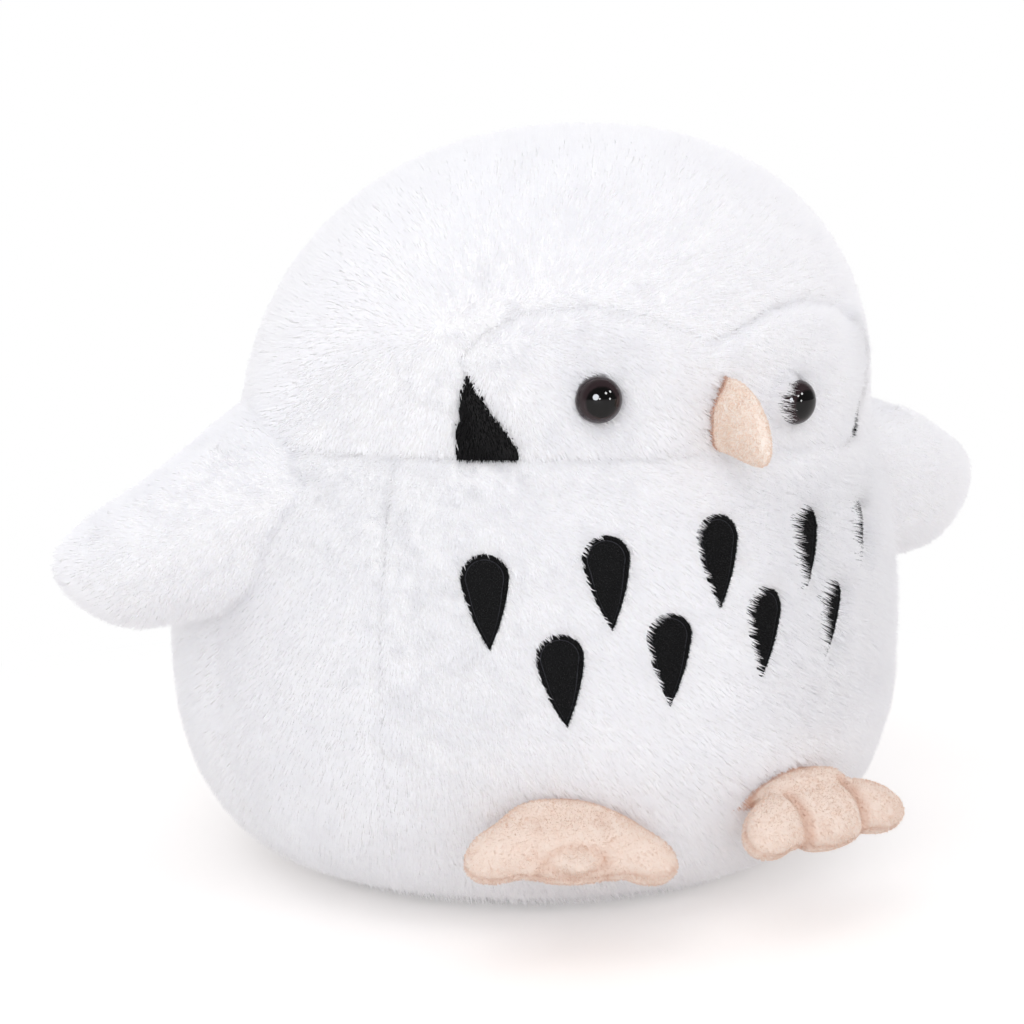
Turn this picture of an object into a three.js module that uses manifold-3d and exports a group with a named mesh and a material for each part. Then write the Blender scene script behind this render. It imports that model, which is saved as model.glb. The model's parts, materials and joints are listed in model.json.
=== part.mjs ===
import * as THREE from "three";
import { mergeVertices } from "three/addons/utils/BufferGeometryUtils.js";
import Module from "manifold-3d";

// A round stuffed owl that sits on its flat base and looks along -Y, with +Z up.
// Its skin is sewn from plush panels over one fibre filling. The wings and the feet are
// stuffed bags that bend at the seam that joins them to the body.
// All lengths are in millimetres, and azimuths run from the front, -Y, towards +X.

const wasm = await Module();
wasm.setup();

// Body and head
const bodyRadius = 184; // half the width where the body is widest
const widestHeight = 112; // floor to the widest ring
const neckHeight = 216; // floor to the neck seam
const neckRadius = 155; // half the width at the neck seam
const headHeight = 145; // neck seam to the top of the crown
const seatRadius = 92; // flat of the base panel
const neckLead = 18; // how far the neck lies in front of the body's axis
const crownLead = 29; // how far the crown leans in front of the neck
const depthShare = 0.94; // depth over width
const crownBackShare = 0.86; // the same behind the crown, which falls away flatter
const bodyFullness = 2.3; // exponents of the two super-ellipses
const headFullness = 2.2;

// The form swells at each shoulder, where the wing is sewn in, and on over the neck seam
const shoulderSwell = 13;
const shoulderAzimuth = 80; // degrees
const shoulderDrop = 21; // neck seam down to the middle of the swelling
const shoulderHalfWidth = 58;
const shoulderHalfHeight = 60;

// Cloth, seams and fits
const plushThickness = 3; // backing and pressed pile
const velourThickness = 1.5; // short-pile cloth of the feet and the beak
const patchThickness = 1.2; // stitched breast spots
const seamGap = 0.6; // between two panels at a seam
const fillGap = 0.3; // between a panel and the filling behind it
const maskFillGap = 0.6; // the same behind the mask, with room for its tighter curves
const seatGap = 0.3; // between a sewn-on piece and what carries it
const baseSeamHeight = 14; // floor to the seam round the base panel
const bellySeamAzimuth = 50; // degrees, either side of the front
const overrun = 20; // how far a cutting solid runs past what it cuts

// Face
const faceHalfWidth = 101; // middle line to the widest point of the mask
const faceHeight = 66; // neck seam to the top of a brow
const faceStep = 1.6; // how far the mask stands proud of the crown at their seam
const lobeSwell = 3; // how far each cheek of the mask swells out beyond that
const lobeAzimuth = 23; // degrees, middle of a lobe
const lobeRise = 27; // neck seam to the middle of a lobe
const lobeHalfWidth = 62;
const lobeHalfHeight = 45;
const eyeDimple = 6.5; // how deep the washer pulls the cloth in under each eye
const eyeDimpleRadius = 30;
const eyeDimpleFlat = 14.5; // radius of the flat in the middle of the dimple
const patchHeight = 41; // neck seam to the tip of the black patch
const patchHalfWidth = 103; // middle line to the patch's outer edge

// Plastic eyes with a stem and a lock washer behind the cloth
const eyeRadius = 10;
const eyeDome = 8;
const eyeRim = 1;
const leftEye = { azimuth: 17.4, rise: 21.5 }; // degrees from the front, and neck seam to the eye
const rightEye = { azimuth: 20, rise: 26.5 }; // the two aren't set quite alike
const stemRadius = 2.5;
const stemLength = 13;
const eyeSeatGap = 0.6; // room for the curve of the cloth behind the flat of the eye
const washerRadius = 9;
const washerThickness = 1.6;
const washerGap = 0.8; // room for the curve of the cloth in front of the flat washer
const stemClearance = 0.2;
const pocketClearance = 0.5;

// Beak, a curved cone sewn on at its wide end
const beakLength = 40;
const beakDrop = 16; // how far the tip lies below the root
const beakHalfWidth = 7.5;
const beakHalfHeight = 15;
const beakRise = 20; // neck seam to the middle of its root

// Wings
const wingRootDrop = 10; // neck seam down to the upper end of the hinge line
const wingRootHeight = 64; // length of the hinge line
const wingUpperRise = 19; // how far the wing rises above the hinge line's upper end
const wingLowerDrop = 7; // how far it hangs below the lower end
const wingSpan = 65; // hinge line to the tip
const wingSweep = 15; // how far the right wing's tip lies behind the hinge line
const leftExtraSweep = 12;
const wingThickness = 54;
const wingHingeOffset = 7; // the hinge line's middle stands this far off the body
const wingTipDrop = 48; // neck seam down to the tip
const leftTipLift = 15; // the left wing is held this much higher at its tip than the right

// Feet
const rightFootAzimuth = 22; // degrees from the front; the two feet aren't set alike
const leftFootAzimuth = 15;
const footToeIn = 5; // degrees that the feet are turned back towards the front
const footHeight = 63; // floor to the hinge line
const footHingeOffset = 8;
const footRootWidth = 42;
const footSlope = 42; // degrees, how steeply the foot hangs
const padHalfWidth = 35;
const padHalfLength = 17;
const padHalfHeight = 12;
const padReach = 14; // hinge line to the middle of the pad
const toeSplay = 66; // degrees between the middle toe and the others
const sideToeHalfWidth = 13;
const sideToeHalfLength = 22;
const sideToeHalfHeight = 11.5;
const sideToeOut = 27; // middle toe to the middle of a side toe
const sideToeReach = 14;
const midToeHalfWidth = 11.5;
const midToeHalfLength = 15;
const midToeHalfHeight = 9.5;
const midToeReach = 17;
const midToeLift = 38; // degrees from the slope of the foot up to the middle toe, which points straight out

// Breast spots: leaning teardrops in two rows, upper row first
const spotLength = 41;
const spotWidth = 21;
const spotLeanShare = 0.28; // how far a spot leans towards the middle, of its azimuth
const spotPlaces = [
  { azimuth: -34.2, drop: 59 },
  { azimuth: -16.4, drop: 51.5 },
  { azimuth: 0.8, drop: 45 },
  { azimuth: 19.4, drop: 45 },
  { azimuth: 37, drop: 46 },
  { azimuth: -22.3, drop: 93.5 },
  { azimuth: -7, drop: 86.5 },
  { azimuth: 8.9, drop: 79.5 },
  { azimuth: 24.2, drop: 80 },
]; // degrees from the front, and millimetres from the neck seam down to the middle

// How finely the round forms are cut into flats
const roundSides = 36;
const faceSides = 64;
const smallSides = 12;
const eyeSides = 18;
const wallSteps = 6;
const weldDistance = 0.001; // corners nearer than this are one corner

const radians = THREE.MathUtils.degToRad;
const sides = [
  { word: "left", side: 1, eye: leftEye, tipLift: leftTipLift, sweep: wingSweep + leftExtraSweep },
  { word: "right", side: -1, eye: rightEye, tipLift: 0, sweep: wingSweep },
];

// Solids and meshes

function toSolid(geometry) {
  const bare = geometry.index ? geometry.toNonIndexed() : geometry.clone();
  bare.deleteAttribute("normal");
  bare.deleteAttribute("uv");
  const merged = mergeVertices(bare, weldDistance);
  const corners = merged.index.array;
  const kept = [];
  for (let i = 0; i < corners.length; i += 3) {
    const [a, b, c] = [corners[i], corners[i + 1], corners[i + 2]];
    if (a !== b && b !== c && c !== a) kept.push(a, b, c);
  }
  return new wasm.Manifold(
    new wasm.Mesh({
      numProp: 3,
      vertProperties: new Float32Array(merged.attributes.position.array),
      triVerts: new Uint32Array(kept),
    }),
  );
}

function toMesh(name, solid, material) {
  const made = solid.getMesh();
  const places = new Float32Array(made.numVert * 3);
  for (let i = 0; i < made.numVert; i += 1) {
    places.set(made.vertProperties.subarray(i * made.numProp, i * made.numProp + 3), i * 3);
  }
  const geometry = new THREE.BufferGeometry();
  geometry.setAttribute("position", new THREE.BufferAttribute(places, 3));
  geometry.setIndex(new THREE.BufferAttribute(new Uint32Array(made.triVerts), 1));
  geometry.computeVertexNormals();
  const mesh = new THREE.Mesh(geometry, material);
  mesh.name = name;
  return mesh;
}

// What lies on one side of the upright plane through the Z axis at an azimuth, less half a seam.
function keepSide(solid, azimuth, sign) {
  const turn = radians(azimuth);
  return solid.trimByPlane([sign * Math.cos(turn), sign * Math.sin(turn), 0], seamGap / 2);
}

function keepAbove(solid, height) {
  return solid.trimByPlane([0, 0, 1], height);
}

function keepBelow(solid, height) {
  return solid.trimByPlane([0, 0, -1], -height);
}

// The outer form of body and head

function bodyRadiusAt(height) {
  if (height < widestHeight) {
    const left = 1 - Math.max(height, 0) / widestHeight;
    const rise = (1 - left ** bodyFullness) ** (1 / bodyFullness);
    return seatRadius + (bodyRadius - seatRadius) * rise;
  }
  const share = (height - widestHeight) / (neckHeight - widestHeight);
  return bodyRadius - (bodyRadius - neckRadius) * share ** 2;
}

function headShareAt(height) {
  return Math.min(Math.max((height - neckHeight) / headHeight, 0), 1);
}

function headRadiusAt(height) {
  return neckRadius * (1 - headShareAt(height) ** headFullness) ** (1 / headFullness);
}

// How far the form's middle lies in front of the Z axis at a height.
function leadAt(height) {
  const share = Math.max(height - widestHeight, 0) / (neckHeight - widestHeight);
  return neckLead * Math.min(share, 1) ** 1.5 + crownLead * headShareAt(height);
}

function placeOnRound(azimuth, radius, height) {
  const away = -radius * Math.cos(azimuth);
  const backShare = depthShare + (crownBackShare - depthShare) * headShareAt(height);
  const y = away * (away < 0 ? depthShare : backShare) - leadAt(height);
  return new THREE.Vector3(radius * Math.sin(azimuth), y, height);
}

// A soft hill over an ellipse: 1 in the middle, 0 at the rim and beyond.
function hill(across, halfWidth, along, halfHeight) {
  const reach = (across / halfWidth) ** 2 + (along / halfHeight) ** 2;
  return reach < 1 ? (1 - reach) ** 1.5 : 0;
}

function shoulderAt(azimuth, height) {
  const across = neckRadius * (Math.abs(azimuth) - radians(shoulderAzimuth));
  const along = height - neckHeight + shoulderDrop;
  return shoulderSwell * hill(across, shoulderHalfWidth, along, shoulderHalfHeight);
}

function maskAt(azimuth, height) {
  const across = headRadiusAt(height) * (Math.abs(azimuth) - radians(lobeAzimuth));
  const along = height - neckHeight - lobeRise;
  const eye = azimuth < 0 ? rightEye : leftEye;
  const toEye = headRadiusAt(height) * (Math.abs(azimuth) - radians(eye.azimuth));
  const offEye = Math.hypot(toEye, height - neckHeight - eye.rise) - eyeDimpleFlat;
  const dimple = hill(Math.max(offEye, 0), eyeDimpleRadius - eyeDimpleFlat, 0, eyeDimpleRadius);
  const lobe = hill(across, lobeHalfWidth, along, lobeHalfHeight);
  return faceStep + lobeSwell * lobe - eyeDimple * dimple;
}

function bodyPoint(azimuth, height) {
  return placeOnRound(azimuth, bodyRadiusAt(height) + shoulderAt(azimuth, height), height);
}

function facePoint(azimuth, height) {
  return placeOnRound(azimuth, headRadiusAt(height) + maskAt(azimuth, height), height);
}

// The direction that a surface faces, from two short steps along it.
function facing(surface, azimuth, height) {
  const turnStep = 0.01;
  const heightStep = plushThickness / 6;
  const across = surface(azimuth + turnStep, height).sub(surface(azimuth - turnStep, height));
  const along = surface(azimuth, height + heightStep).sub(surface(azimuth, height - heightStep));
  return across.cross(along).normalize();
}

// Wall points of the body from the edge of the seat to the neck seam, as radius and height.
function bodyWall() {
  const wall = [];
  for (let i = 0; i <= wallSteps; i += 1) {
    const turn = (i / wallSteps) * (Math.PI / 2);
    const height = widestHeight * (1 - Math.cos(turn) ** (2 / bodyFullness));
    wall.push(new THREE.Vector2(bodyRadiusAt(height), height));
  }
  for (let i = 1; i <= wallSteps - 1; i += 1) {
    const height = widestHeight + ((neckHeight - widestHeight) * i) / (wallSteps - 1);
    wall.push(new THREE.Vector2(bodyRadiusAt(height), height));
  }
  return wall;
}

// Wall points of the head from the neck seam towards the crown.
function headWall(steps) {
  const wall = [];
  for (let i = 0; i < steps; i += 1) {
    const height = neckHeight + headHeight * Math.sin((i / steps) * (Math.PI / 2)) ** (2 / headFullness);
    wall.push(new THREE.Vector2(headRadiusAt(height), height));
  }
  return wall;
}

// The wall moved inwards by a thickness, square to itself.
function insetWall(wall, inset) {
  return wall.map((point, i) => {
    const before = wall[Math.max(i - 1, 0)];
    const after = wall[Math.min(i + 1, wall.length - 1)];
    const along = after.clone().sub(before).normalize();
    return new THREE.Vector2(point.x - along.y * inset, point.y + along.x * inset);
  });
}

// Turns a profile into a solid, then gives each ring its depth, its lead and its swelling.
function turnedForm(profile, turnSides, swell) {
  const geometry = new THREE.LatheGeometry(profile, turnSides).rotateX(Math.PI / 2);
  const places = geometry.attributes.position;
  for (let i = 0; i < places.count; i += 1) {
    const radius = Math.hypot(places.getX(i), places.getY(i));
    const height = places.getZ(i);
    const azimuth = Math.atan2(places.getX(i), -places.getY(i));
    const swollen = radius > 0 ? radius + swell(azimuth, height) : 0;
    const moved = placeOnRound(azimuth, swollen, height);
    places.setXYZ(i, moved.x, moved.y, moved.z);
  }
  return toSolid(geometry);
}

const axisPoint = (height) => new THREE.Vector2(0, height);

// The body with its skin taken off to a depth. With open true it runs on up past the neck seam.
function bodyForm(inset, open = false) {
  const wall = insetWall(bodyWall(), inset);
  wall[0].y = inset;
  const topHeight = open ? neckHeight + overrun : neckHeight;
  const rim = wall[wall.length - 1];
  rim.y = neckHeight;
  const lid = open ? [new THREE.Vector2(rim.x, topHeight)] : [];
  return turnedForm([axisPoint(inset), ...wall, ...lid, axisPoint(topHeight)], roundSides, shoulderAt);
}

// The head likewise: with open true it runs on down past the neck seam.
function headForm(inset, open = false, turnSides = roundSides, steps = wallSteps + 3, swell = shoulderAt) {
  const wall = insetWall(headWall(steps), inset);
  const lowHeight = open ? neckHeight - overrun : neckHeight;
  wall[0].y = neckHeight;
  const skirt = open ? [new THREE.Vector2(wall[0].x, lowHeight)] : [];
  const profile = [axisPoint(lowHeight), ...skirt, ...wall, axisPoint(neckHeight + headHeight - inset)];
  return turnedForm(profile, turnSides, swell);
}

const faceForm = (inset, open) => headForm(inset, open, faceSides, wallSteps + 5, maskAt);

// Outlines in the front view, cut through the front half of the head

function grownOutline(points, grow) {
  return points.map((point, i) => {
    const before = points[(i + points.length - 1) % points.length];
    const after = points[(i + 1) % points.length];
    const along = after.clone().sub(before).normalize();
    return new THREE.Vector2(point.x + along.y * grow, point.y - along.x * grow);
  });
}

function frontCutter(points, grow) {
  const depth = bodyRadius + neckLead + crownLead + overrun;
  const shape = new THREE.Shape(grownOutline(points, grow));
  const geometry = new THREE.ExtrudeGeometry(shape, { depth, bevelEnabled: false, steps: 1 });
  return toSolid(geometry.rotateX(Math.PI / 2));
}

// Half of the mask's edge, from the notch between the brows round to the neck seam:
// shares of the mask's half width, and of its height above the neck seam.
const maskEdgeShares = [
  [0, 0.75],
  [0.14, 0.82],
  [0.31, 0.93],
  [0.52, 1],
  [0.79, 0.94],
  [0.93, 0.79],
  [1, 0.62],
  [0.925, 0.38],
  [0.8, 0.08],
  [0.79, -0.25],
];
const maskWidestShare = 0.62; // height of the mask's widest point
const leftSpreadShare = 0.16; // below it the mask's left edge runs in less than the right one

function maskOutline() {
  const edge = (side, spread) =>
    maskEdgeShares.map(([x, z]) => {
      const wide = x + spread * Math.max(maskWidestShare - z, 0) * x;
      return new THREE.Vector2(side * wide * faceHalfWidth, neckHeight + z * faceHeight);
    });
  return [...edge(1, leftSpreadShare).reverse(), ...edge(-1, 0).slice(1)];
}

// The black patch fills the corner between mask, crown and neck seam. Shares of its own half
// width and height, from its tip down its outer edge.
const patchEdgeShares = [
  [0.955, 1],
  [0.98, 0.7],
  [1, 0.3],
  [1, -0.4],
  [0, -0.4],
  [0, 0.5],
];

function patchOutline(side) {
  const points = patchEdgeShares.map(
    ([x, z]) => new THREE.Vector2(side * x * patchHalfWidth, neckHeight + z * patchHeight),
  );
  return side > 0 ? points.reverse() : points;
}

// Sewn-on forms

function ellipsoid(halfX, halfY, halfZ) {
  const unit = 1;
  const ball = new THREE.SphereGeometry(unit, smallSides, smallSides / 2);
  return ball.rotateX(Math.PI / 2).scale(halfX, halfY, halfZ);
}

// Ellipse sections along a line, closed with a point at each end. Each section has a middle
// and two half-axes, all as vectors.
function sectionForm(startPoint, sections, endPoint) {
  const places = [startPoint.toArray()];
  for (const { middle, across, along } of sections) {
    for (let i = 0; i < smallSides; i += 1) {
      const turn = (i / smallSides) * Math.PI * 2;
      const place = middle.clone();
      place.addScaledVector(across, Math.cos(turn)).addScaledVector(along, Math.sin(turn));
      places.push(place.toArray());
    }
  }
  places.push(endPoint.toArray());
  const last = places.length - 1;
  const rim = last - smallSides;
  const faces = [];
  for (let i = 0; i < smallSides; i += 1) {
    const next = (i + 1) % smallSides;
    faces.push(0, 1 + next, 1 + i);
    for (let low = 1; low < rim; low += smallSides) {
      const high = low + smallSides;
      faces.push(low + i, low + next, high + next, low + i, high + next, high + i);
    }
    faces.push(rim + i, rim + next, last);
  }
  const geometry = new THREE.BufferGeometry();
  geometry.setAttribute("position", new THREE.BufferAttribute(new Float32Array(places.flat()), 3));
  geometry.setIndex(faces);
  const made = toSolid(geometry);
  return made.volume() > 0 ? made : toSolid(geometry.setIndex(faces.reverse()));
}

// The outside of a solid as its flats, to measure from.
function flatsOf(solid) {
  const { numProp, vertProperties, triVerts } = solid.getMesh();
  const corner = (i) => new THREE.Vector3().fromArray(vertProperties, triVerts[i] * numProp);
  const flats = [];
  for (let i = 0; i < triVerts.length; i += 3) {
    flats.push(new THREE.Triangle(corner(i), corner(i + 1), corner(i + 2)));
  }
  return flats;
}

const bodyFlats = flatsOf(bodyForm(0));

// The shortest way from a point to the outside of the body.
function gapToBody(point) {
  const nearest = new THREE.Vector3();
  const gaps = bodyFlats.map((flat) => flat.closestPointToPoint(point, nearest).distanceTo(point));
  return Math.min(...gaps);
}

// The round root of a limb: turned about its hinge line, and as fat as the body leaves room for,
// so that the limb can swing and still touches the body all along.
function hingeRoot(start, end, inset) {
  const steps = 6;
  const endRoundingShare = 0.35;
  const length = start.distanceTo(end);
  const profile = [axisPoint(inset)];
  for (let i = 0; i <= steps; i += 1) {
    const share = i / steps;
    const room = gapToBody(start.clone().lerp(end, share)) - seatGap - inset;
    const rounding = 1 - endRoundingShare * Math.abs(2 * share - 1) ** 4;
    profile.push(new THREE.Vector2(room * rounding, inset + (length - 2 * inset) * share));
  }
  profile.push(axisPoint(length - inset));
  const aim = new THREE.Quaternion().setFromUnitVectors(
    new THREE.Vector3(0, 1, 0),
    end.clone().sub(start).normalize(),
  );
  const geometry = new THREE.LatheGeometry(profile, smallSides).applyQuaternion(aim);
  return toSolid(geometry.translate(start.x, start.y, start.z));
}

// Wings

// Stations of the wing from its root to just before the tip: shares of the span, of the rise from
// the tip to the upper edge and of the drop to the lower edge, and of the thickness.
const wingStationShares = [
  { out: 0, high: 1, low: 0.94, thick: 0.26 },
  { out: 0.15, high: 0.88, low: 1.02, thick: 0.74 },
  { out: 0.35, high: 0.72, low: 1.04, thick: 1 },
  { out: 0.57, high: 0.52, low: 0.94, thick: 0.96 },
  { out: 0.74, high: 0.37, low: 0.76, thick: 0.8 },
  { out: 0.88, high: 0.22, low: 0.52, thick: 0.56 },
  { out: 0.96, high: 0.12, low: 0.3, thick: 0.34 },
];

// The hinge line of a wing, as its low and its high end. The body bulges between them, so they
// stand off it by that much more than the line's middle does.
function wingHinge(side) {
  const azimuth = side * radians(shoulderAzimuth);
  const highHeight = neckHeight - wingRootDrop;
  const lowHeight = highHeight - wingRootHeight;
  const middle = bodyPoint(azimuth, (lowHeight + highHeight) / 2);
  const [low, high] = [bodyPoint(azimuth, lowHeight), bodyPoint(azimuth, highHeight)];
  const out = facing(bodyPoint, azimuth, middle.z).setZ(0).normalize();
  const bulge = middle.sub(low.clone().lerp(high, 0.5)).dot(out);
  return [low, high].map((end) => end.addScaledVector(out, bulge + wingHingeOffset));
}

// A point in the wing's middle plane: a share of the way out to the tip, at a height before the
// tip's lift. Next to the body the plane follows the hinge line.
function wingPoint({ side, tipLift, sweep }, out, height, inset = 0) {
  const [low, high] = wingHinge(side);
  const run = high.clone().sub(low).divideScalar(high.z - low.z);
  const onHinge = low.clone().lerp(high, 0.5);
  onHinge.addScaledVector(run, (height - onHinge.z) * (1 - out)).setZ(height);
  return onHinge.add(new THREE.Vector3(side * (wingSpan - inset), sweep, tipLift).multiplyScalar(out));
}

function wingForm(wing, inset) {
  const [low, high] = wingHinge(wing.side);
  const tipHeight = neckHeight - wingTipDrop;
  const rise = high.z + wingUpperRise - tipHeight;
  const drop = tipHeight - low.z + wingLowerDrop;
  const sections = wingStationShares.map(({ out, high: upShare, low: downShare, thick }) => {
    const top = wingPoint(wing, out, tipHeight + rise * upShare - inset, inset);
    const bottom = wingPoint(wing, out, tipHeight - drop * downShare + inset, inset);
    return {
      middle: top.clone().lerp(bottom, 0.5),
      across: new THREE.Vector3(0, (wingThickness * thick) / 2 - inset, 0),
      along: top.sub(bottom).divideScalar(2),
    };
  });
  const rootEnd = low.clone().lerp(high, 0.5);
  rootEnd.x -= (wing.side * (wingHingeOffset - inset)) / 6;
  const blade = sectionForm(rootEnd, sections, wingPoint(wing, 1, tipHeight, inset));
  return blade.add(hingeRoot(low, high, inset));
}

// The plane of the seam round a wing's edge, through its hinge line and its tip, facing forwards.
function wingSeam(wing) {
  const [low, high] = wingHinge(wing.side);
  const toTip = wingPoint(wing, 1, neckHeight - wingTipDrop).sub(low);
  const square = high.sub(low).cross(toTip).normalize();
  return square.y < 0 ? { square, at: low.dot(square) } : { square: square.negate(), at: low.dot(square) };
}

// Feet

const footAzimuthOn = (side) => radians(side > 0 ? leftFootAzimuth : -rightFootAzimuth);

function footTurn(side) {
  return new THREE.Matrix4().makeRotationZ(footAzimuthOn(side) - side * radians(footToeIn));
}

function footHinge(side) {
  const azimuth = footAzimuthOn(side);
  const out = facing(bodyPoint, azimuth, footHeight).setZ(0).normalize();
  const middle = bodyPoint(azimuth, footHeight).addScaledVector(out, footHingeOffset);
  const along = new THREE.Vector3(footRootWidth / 2, 0, 0).applyMatrix4(footTurn(side));
  return [middle.clone().sub(along), middle.clone().add(along)];
}

// Turns and moves a foot from flat, with its hinge line through the origin, to its place.
function footAim(side) {
  const [start, end] = footHinge(side);
  const slope = new THREE.Matrix4().makeRotationX(radians(footSlope));
  return footTurn(side).multiply(slope).setPosition(start.lerp(end, 0.5));
}

// The plane of the seam round a foot's edge, facing upwards.
function footSeam(side) {
  const aim = footAim(side);
  const square = new THREE.Vector3(0, 0, 1).transformDirection(aim);
  return { square, at: new THREE.Vector3().setFromMatrixPosition(aim).dot(square) };
}

function footForm({ side }, inset) {
  const [start, end] = footHinge(side);
  const aim = footAim(side);
  const pad = ellipsoid(padHalfWidth - inset, padHalfLength - inset, padHalfHeight - inset);
  const midToe = ellipsoid(midToeHalfWidth - inset, midToeHalfLength - inset, midToeHalfHeight - inset);
  const lifted = midToe.rotateX(-radians(midToeLift)).translate(0, -midToeReach, 0);
  const lobes = [pad.translate(0, -padReach, 0), lifted];
  for (const sign of [-1, 1]) {
    const toe = ellipsoid(sideToeHalfWidth - inset, sideToeHalfLength - inset, sideToeHalfHeight - inset);
    lobes.push(toe.rotateZ(sign * radians(toeSplay)).translate(sign * sideToeOut, -sideToeReach, 0));
  }
  const solids = lobes.map((lobe) => toSolid(lobe.applyMatrix4(aim)));
  return solids.reduce((sum, next) => sum.add(next), hingeRoot(start, end, inset));
}

// Beak: sections along a curved line, narrow where it leaves the face between the eyes and
// round at the tip.
const beakRootShare = -0.45;
const beakStationShares = [
  { out: -0.35, wide: 0.9 },
  { out: 0, wide: 1 },
  { out: 0.25, wide: 1 },
  { out: 0.5, wide: 0.92 },
  { out: 0.72, wide: 0.74 },
  { out: 0.88, wide: 0.5 },
  { out: 0.96, wide: 0.28 },
];

function beakForm(inset) {
  const root = facePoint(0, neckHeight + beakRise);
  const reach = beakLength - inset;
  const at = (share) => {
    const dropped = beakDrop * Math.max(share, 0) ** 2;
    return new THREE.Vector3(0, root.y - reach * share, root.z - dropped);
  };
  const sections = beakStationShares.map(({ out, wide }) => {
    const along = new THREE.Vector3(0, -out, 1).normalize();
    return {
      middle: at(out),
      across: new THREE.Vector3(beakHalfWidth * wide - inset, 0, 0),
      along: along.multiplyScalar(beakHalfHeight * wide - inset),
    };
  });
  return sectionForm(at(beakRootShare), sections, at(1));
}

// Eyes

// A form turned about the Y axis, set on the face at an eye and sunk inwards.
function atEye(geometry, { side, eye }, inward) {
  const azimuth = side * radians(eye.azimuth);
  const height = neckHeight + eye.rise;
  const out = facing(facePoint, azimuth, height);
  const place = facePoint(azimuth, height).addScaledVector(out, -inward);
  const aim = new THREE.Quaternion().setFromUnitVectors(new THREE.Vector3(0, 1, 0), out);
  return toSolid(geometry.applyQuaternion(aim).translate(place.x, place.y, place.z));
}

function eyeGeometry() {
  const profile = [axisPoint(-stemLength), new THREE.Vector2(stemRadius, -stemLength)];
  profile.push(new THREE.Vector2(stemRadius, 0), new THREE.Vector2(eyeRadius, 0));
  const domeSteps = 6;
  for (let i = 0; i < domeSteps; i += 1) {
    const turn = (i / domeSteps) * (Math.PI / 2);
    profile.push(new THREE.Vector2(eyeRadius * Math.cos(turn), eyeRim + eyeDome * Math.sin(turn)));
  }
  profile.push(axisPoint(eyeRim + eyeDome));
  return new THREE.LatheGeometry(profile, eyeSides);
}

function washerGeometry() {
  const bore = stemRadius + stemClearance;
  const half = washerThickness / 2;
  const ring = [
    new THREE.Vector2(bore, -half),
    new THREE.Vector2(washerRadius, -half),
    new THREE.Vector2(washerRadius, half),
    new THREE.Vector2(bore, half),
    new THREE.Vector2(bore, -half),
  ];
  return new THREE.LatheGeometry(ring, eyeSides);
}

function plugGeometry(radius, length) {
  return new THREE.CylinderGeometry(radius, radius, length, eyeSides);
}

// Breast spots

// A teardrop with its round end up, in the front view, about its own middle.
function spotGeometry(depth) {
  const radius = spotWidth / 2;
  const roundMiddle = spotLength / 2 - radius;
  const waistShare = 0.8;
  const waistHeight = -spotLength / 8;
  const shape = new THREE.Shape();
  shape.moveTo(0, -spotLength / 2);
  shape.quadraticCurveTo(radius * waistShare, waistHeight, radius, roundMiddle);
  shape.absarc(0, roundMiddle, radius, 0, Math.PI, false);
  shape.quadraticCurveTo(-radius * waistShare, waistHeight, 0, -spotLength / 2);
  const geometry = new THREE.ExtrudeGeometry(shape, { depth, bevelEnabled: false, curveSegments: 5 });
  return geometry.rotateX(Math.PI / 2).translate(0, depth / 2, 0);
}

function spotPrism({ azimuth, drop }) {
  const place = bodyPoint(radians(azimuth), neckHeight - drop);
  const lean = radians(azimuth * spotLeanShare);
  const geometry = spotGeometry(overrun).rotateY(lean).rotateZ(radians(azimuth));
  return toSolid(geometry.translate(place.x, place.y, place.z));
}

// Materials

function cloth(colour, roughness = 1) {
  return new THREE.MeshStandardMaterial({ color: colour, roughness, metalness: 0 });
}

function plastic(colour, roughness) {
  return new THREE.MeshStandardMaterial({ color: colour, roughness, metalness: 0 });
}

const whitePlush = cloth(0xf4f4f3);
const blackPlush = cloth(0x0d0d0e);
const blackPatch = cloth(0x17171a, 0.9);
const peachVelour = cloth(0xf3cfb8);
const fibreFilling = cloth(0xfbfbf8);
const brownPlastic = plastic(0x1d120d, 0.08);
const washerPlastic = plastic(0xe9e7e0, 0.5);

// Assembly

const owl = new THREE.Group();
const add = (name, solid, material) => owl.add(toMesh(name, solid, material));
const halfSeam = seamGap / 2;
const fillInset = plushThickness + fillGap;
const eyePlug = (cheek, radius, depth) => atEye(plugGeometry(radius, depth * 2), cheek, 0);

const bodySkin = bodyForm(0).subtract(bodyForm(plushThickness, true));
const wallSkin = keepBelow(keepAbove(bodySkin, baseSeamHeight + halfSeam), neckHeight - halfSeam);
add("base_panel", keepBelow(bodySkin, baseSeamHeight - halfSeam), whitePlush);
add("belly_panel", keepSide(keepSide(wallSkin, -bellySeamAzimuth, 1), bellySeamAzimuth, -1), whitePlush);
for (const { word, side } of sides) {
  const beyondBelly = keepSide(wallSkin, side * bellySeamAzimuth, side);
  const sidePanel = keepSide(beyondBelly, side * shoulderAzimuth, -side);
  const behindWing = keepSide(wallSkin, side * shoulderAzimuth, side);
  add(`side_panel_${word}`, sidePanel, whitePlush);
  add(`back_panel_${word}`, behindWing.trimByPlane([side, 0, 0], halfSeam), whitePlush);
}

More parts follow.
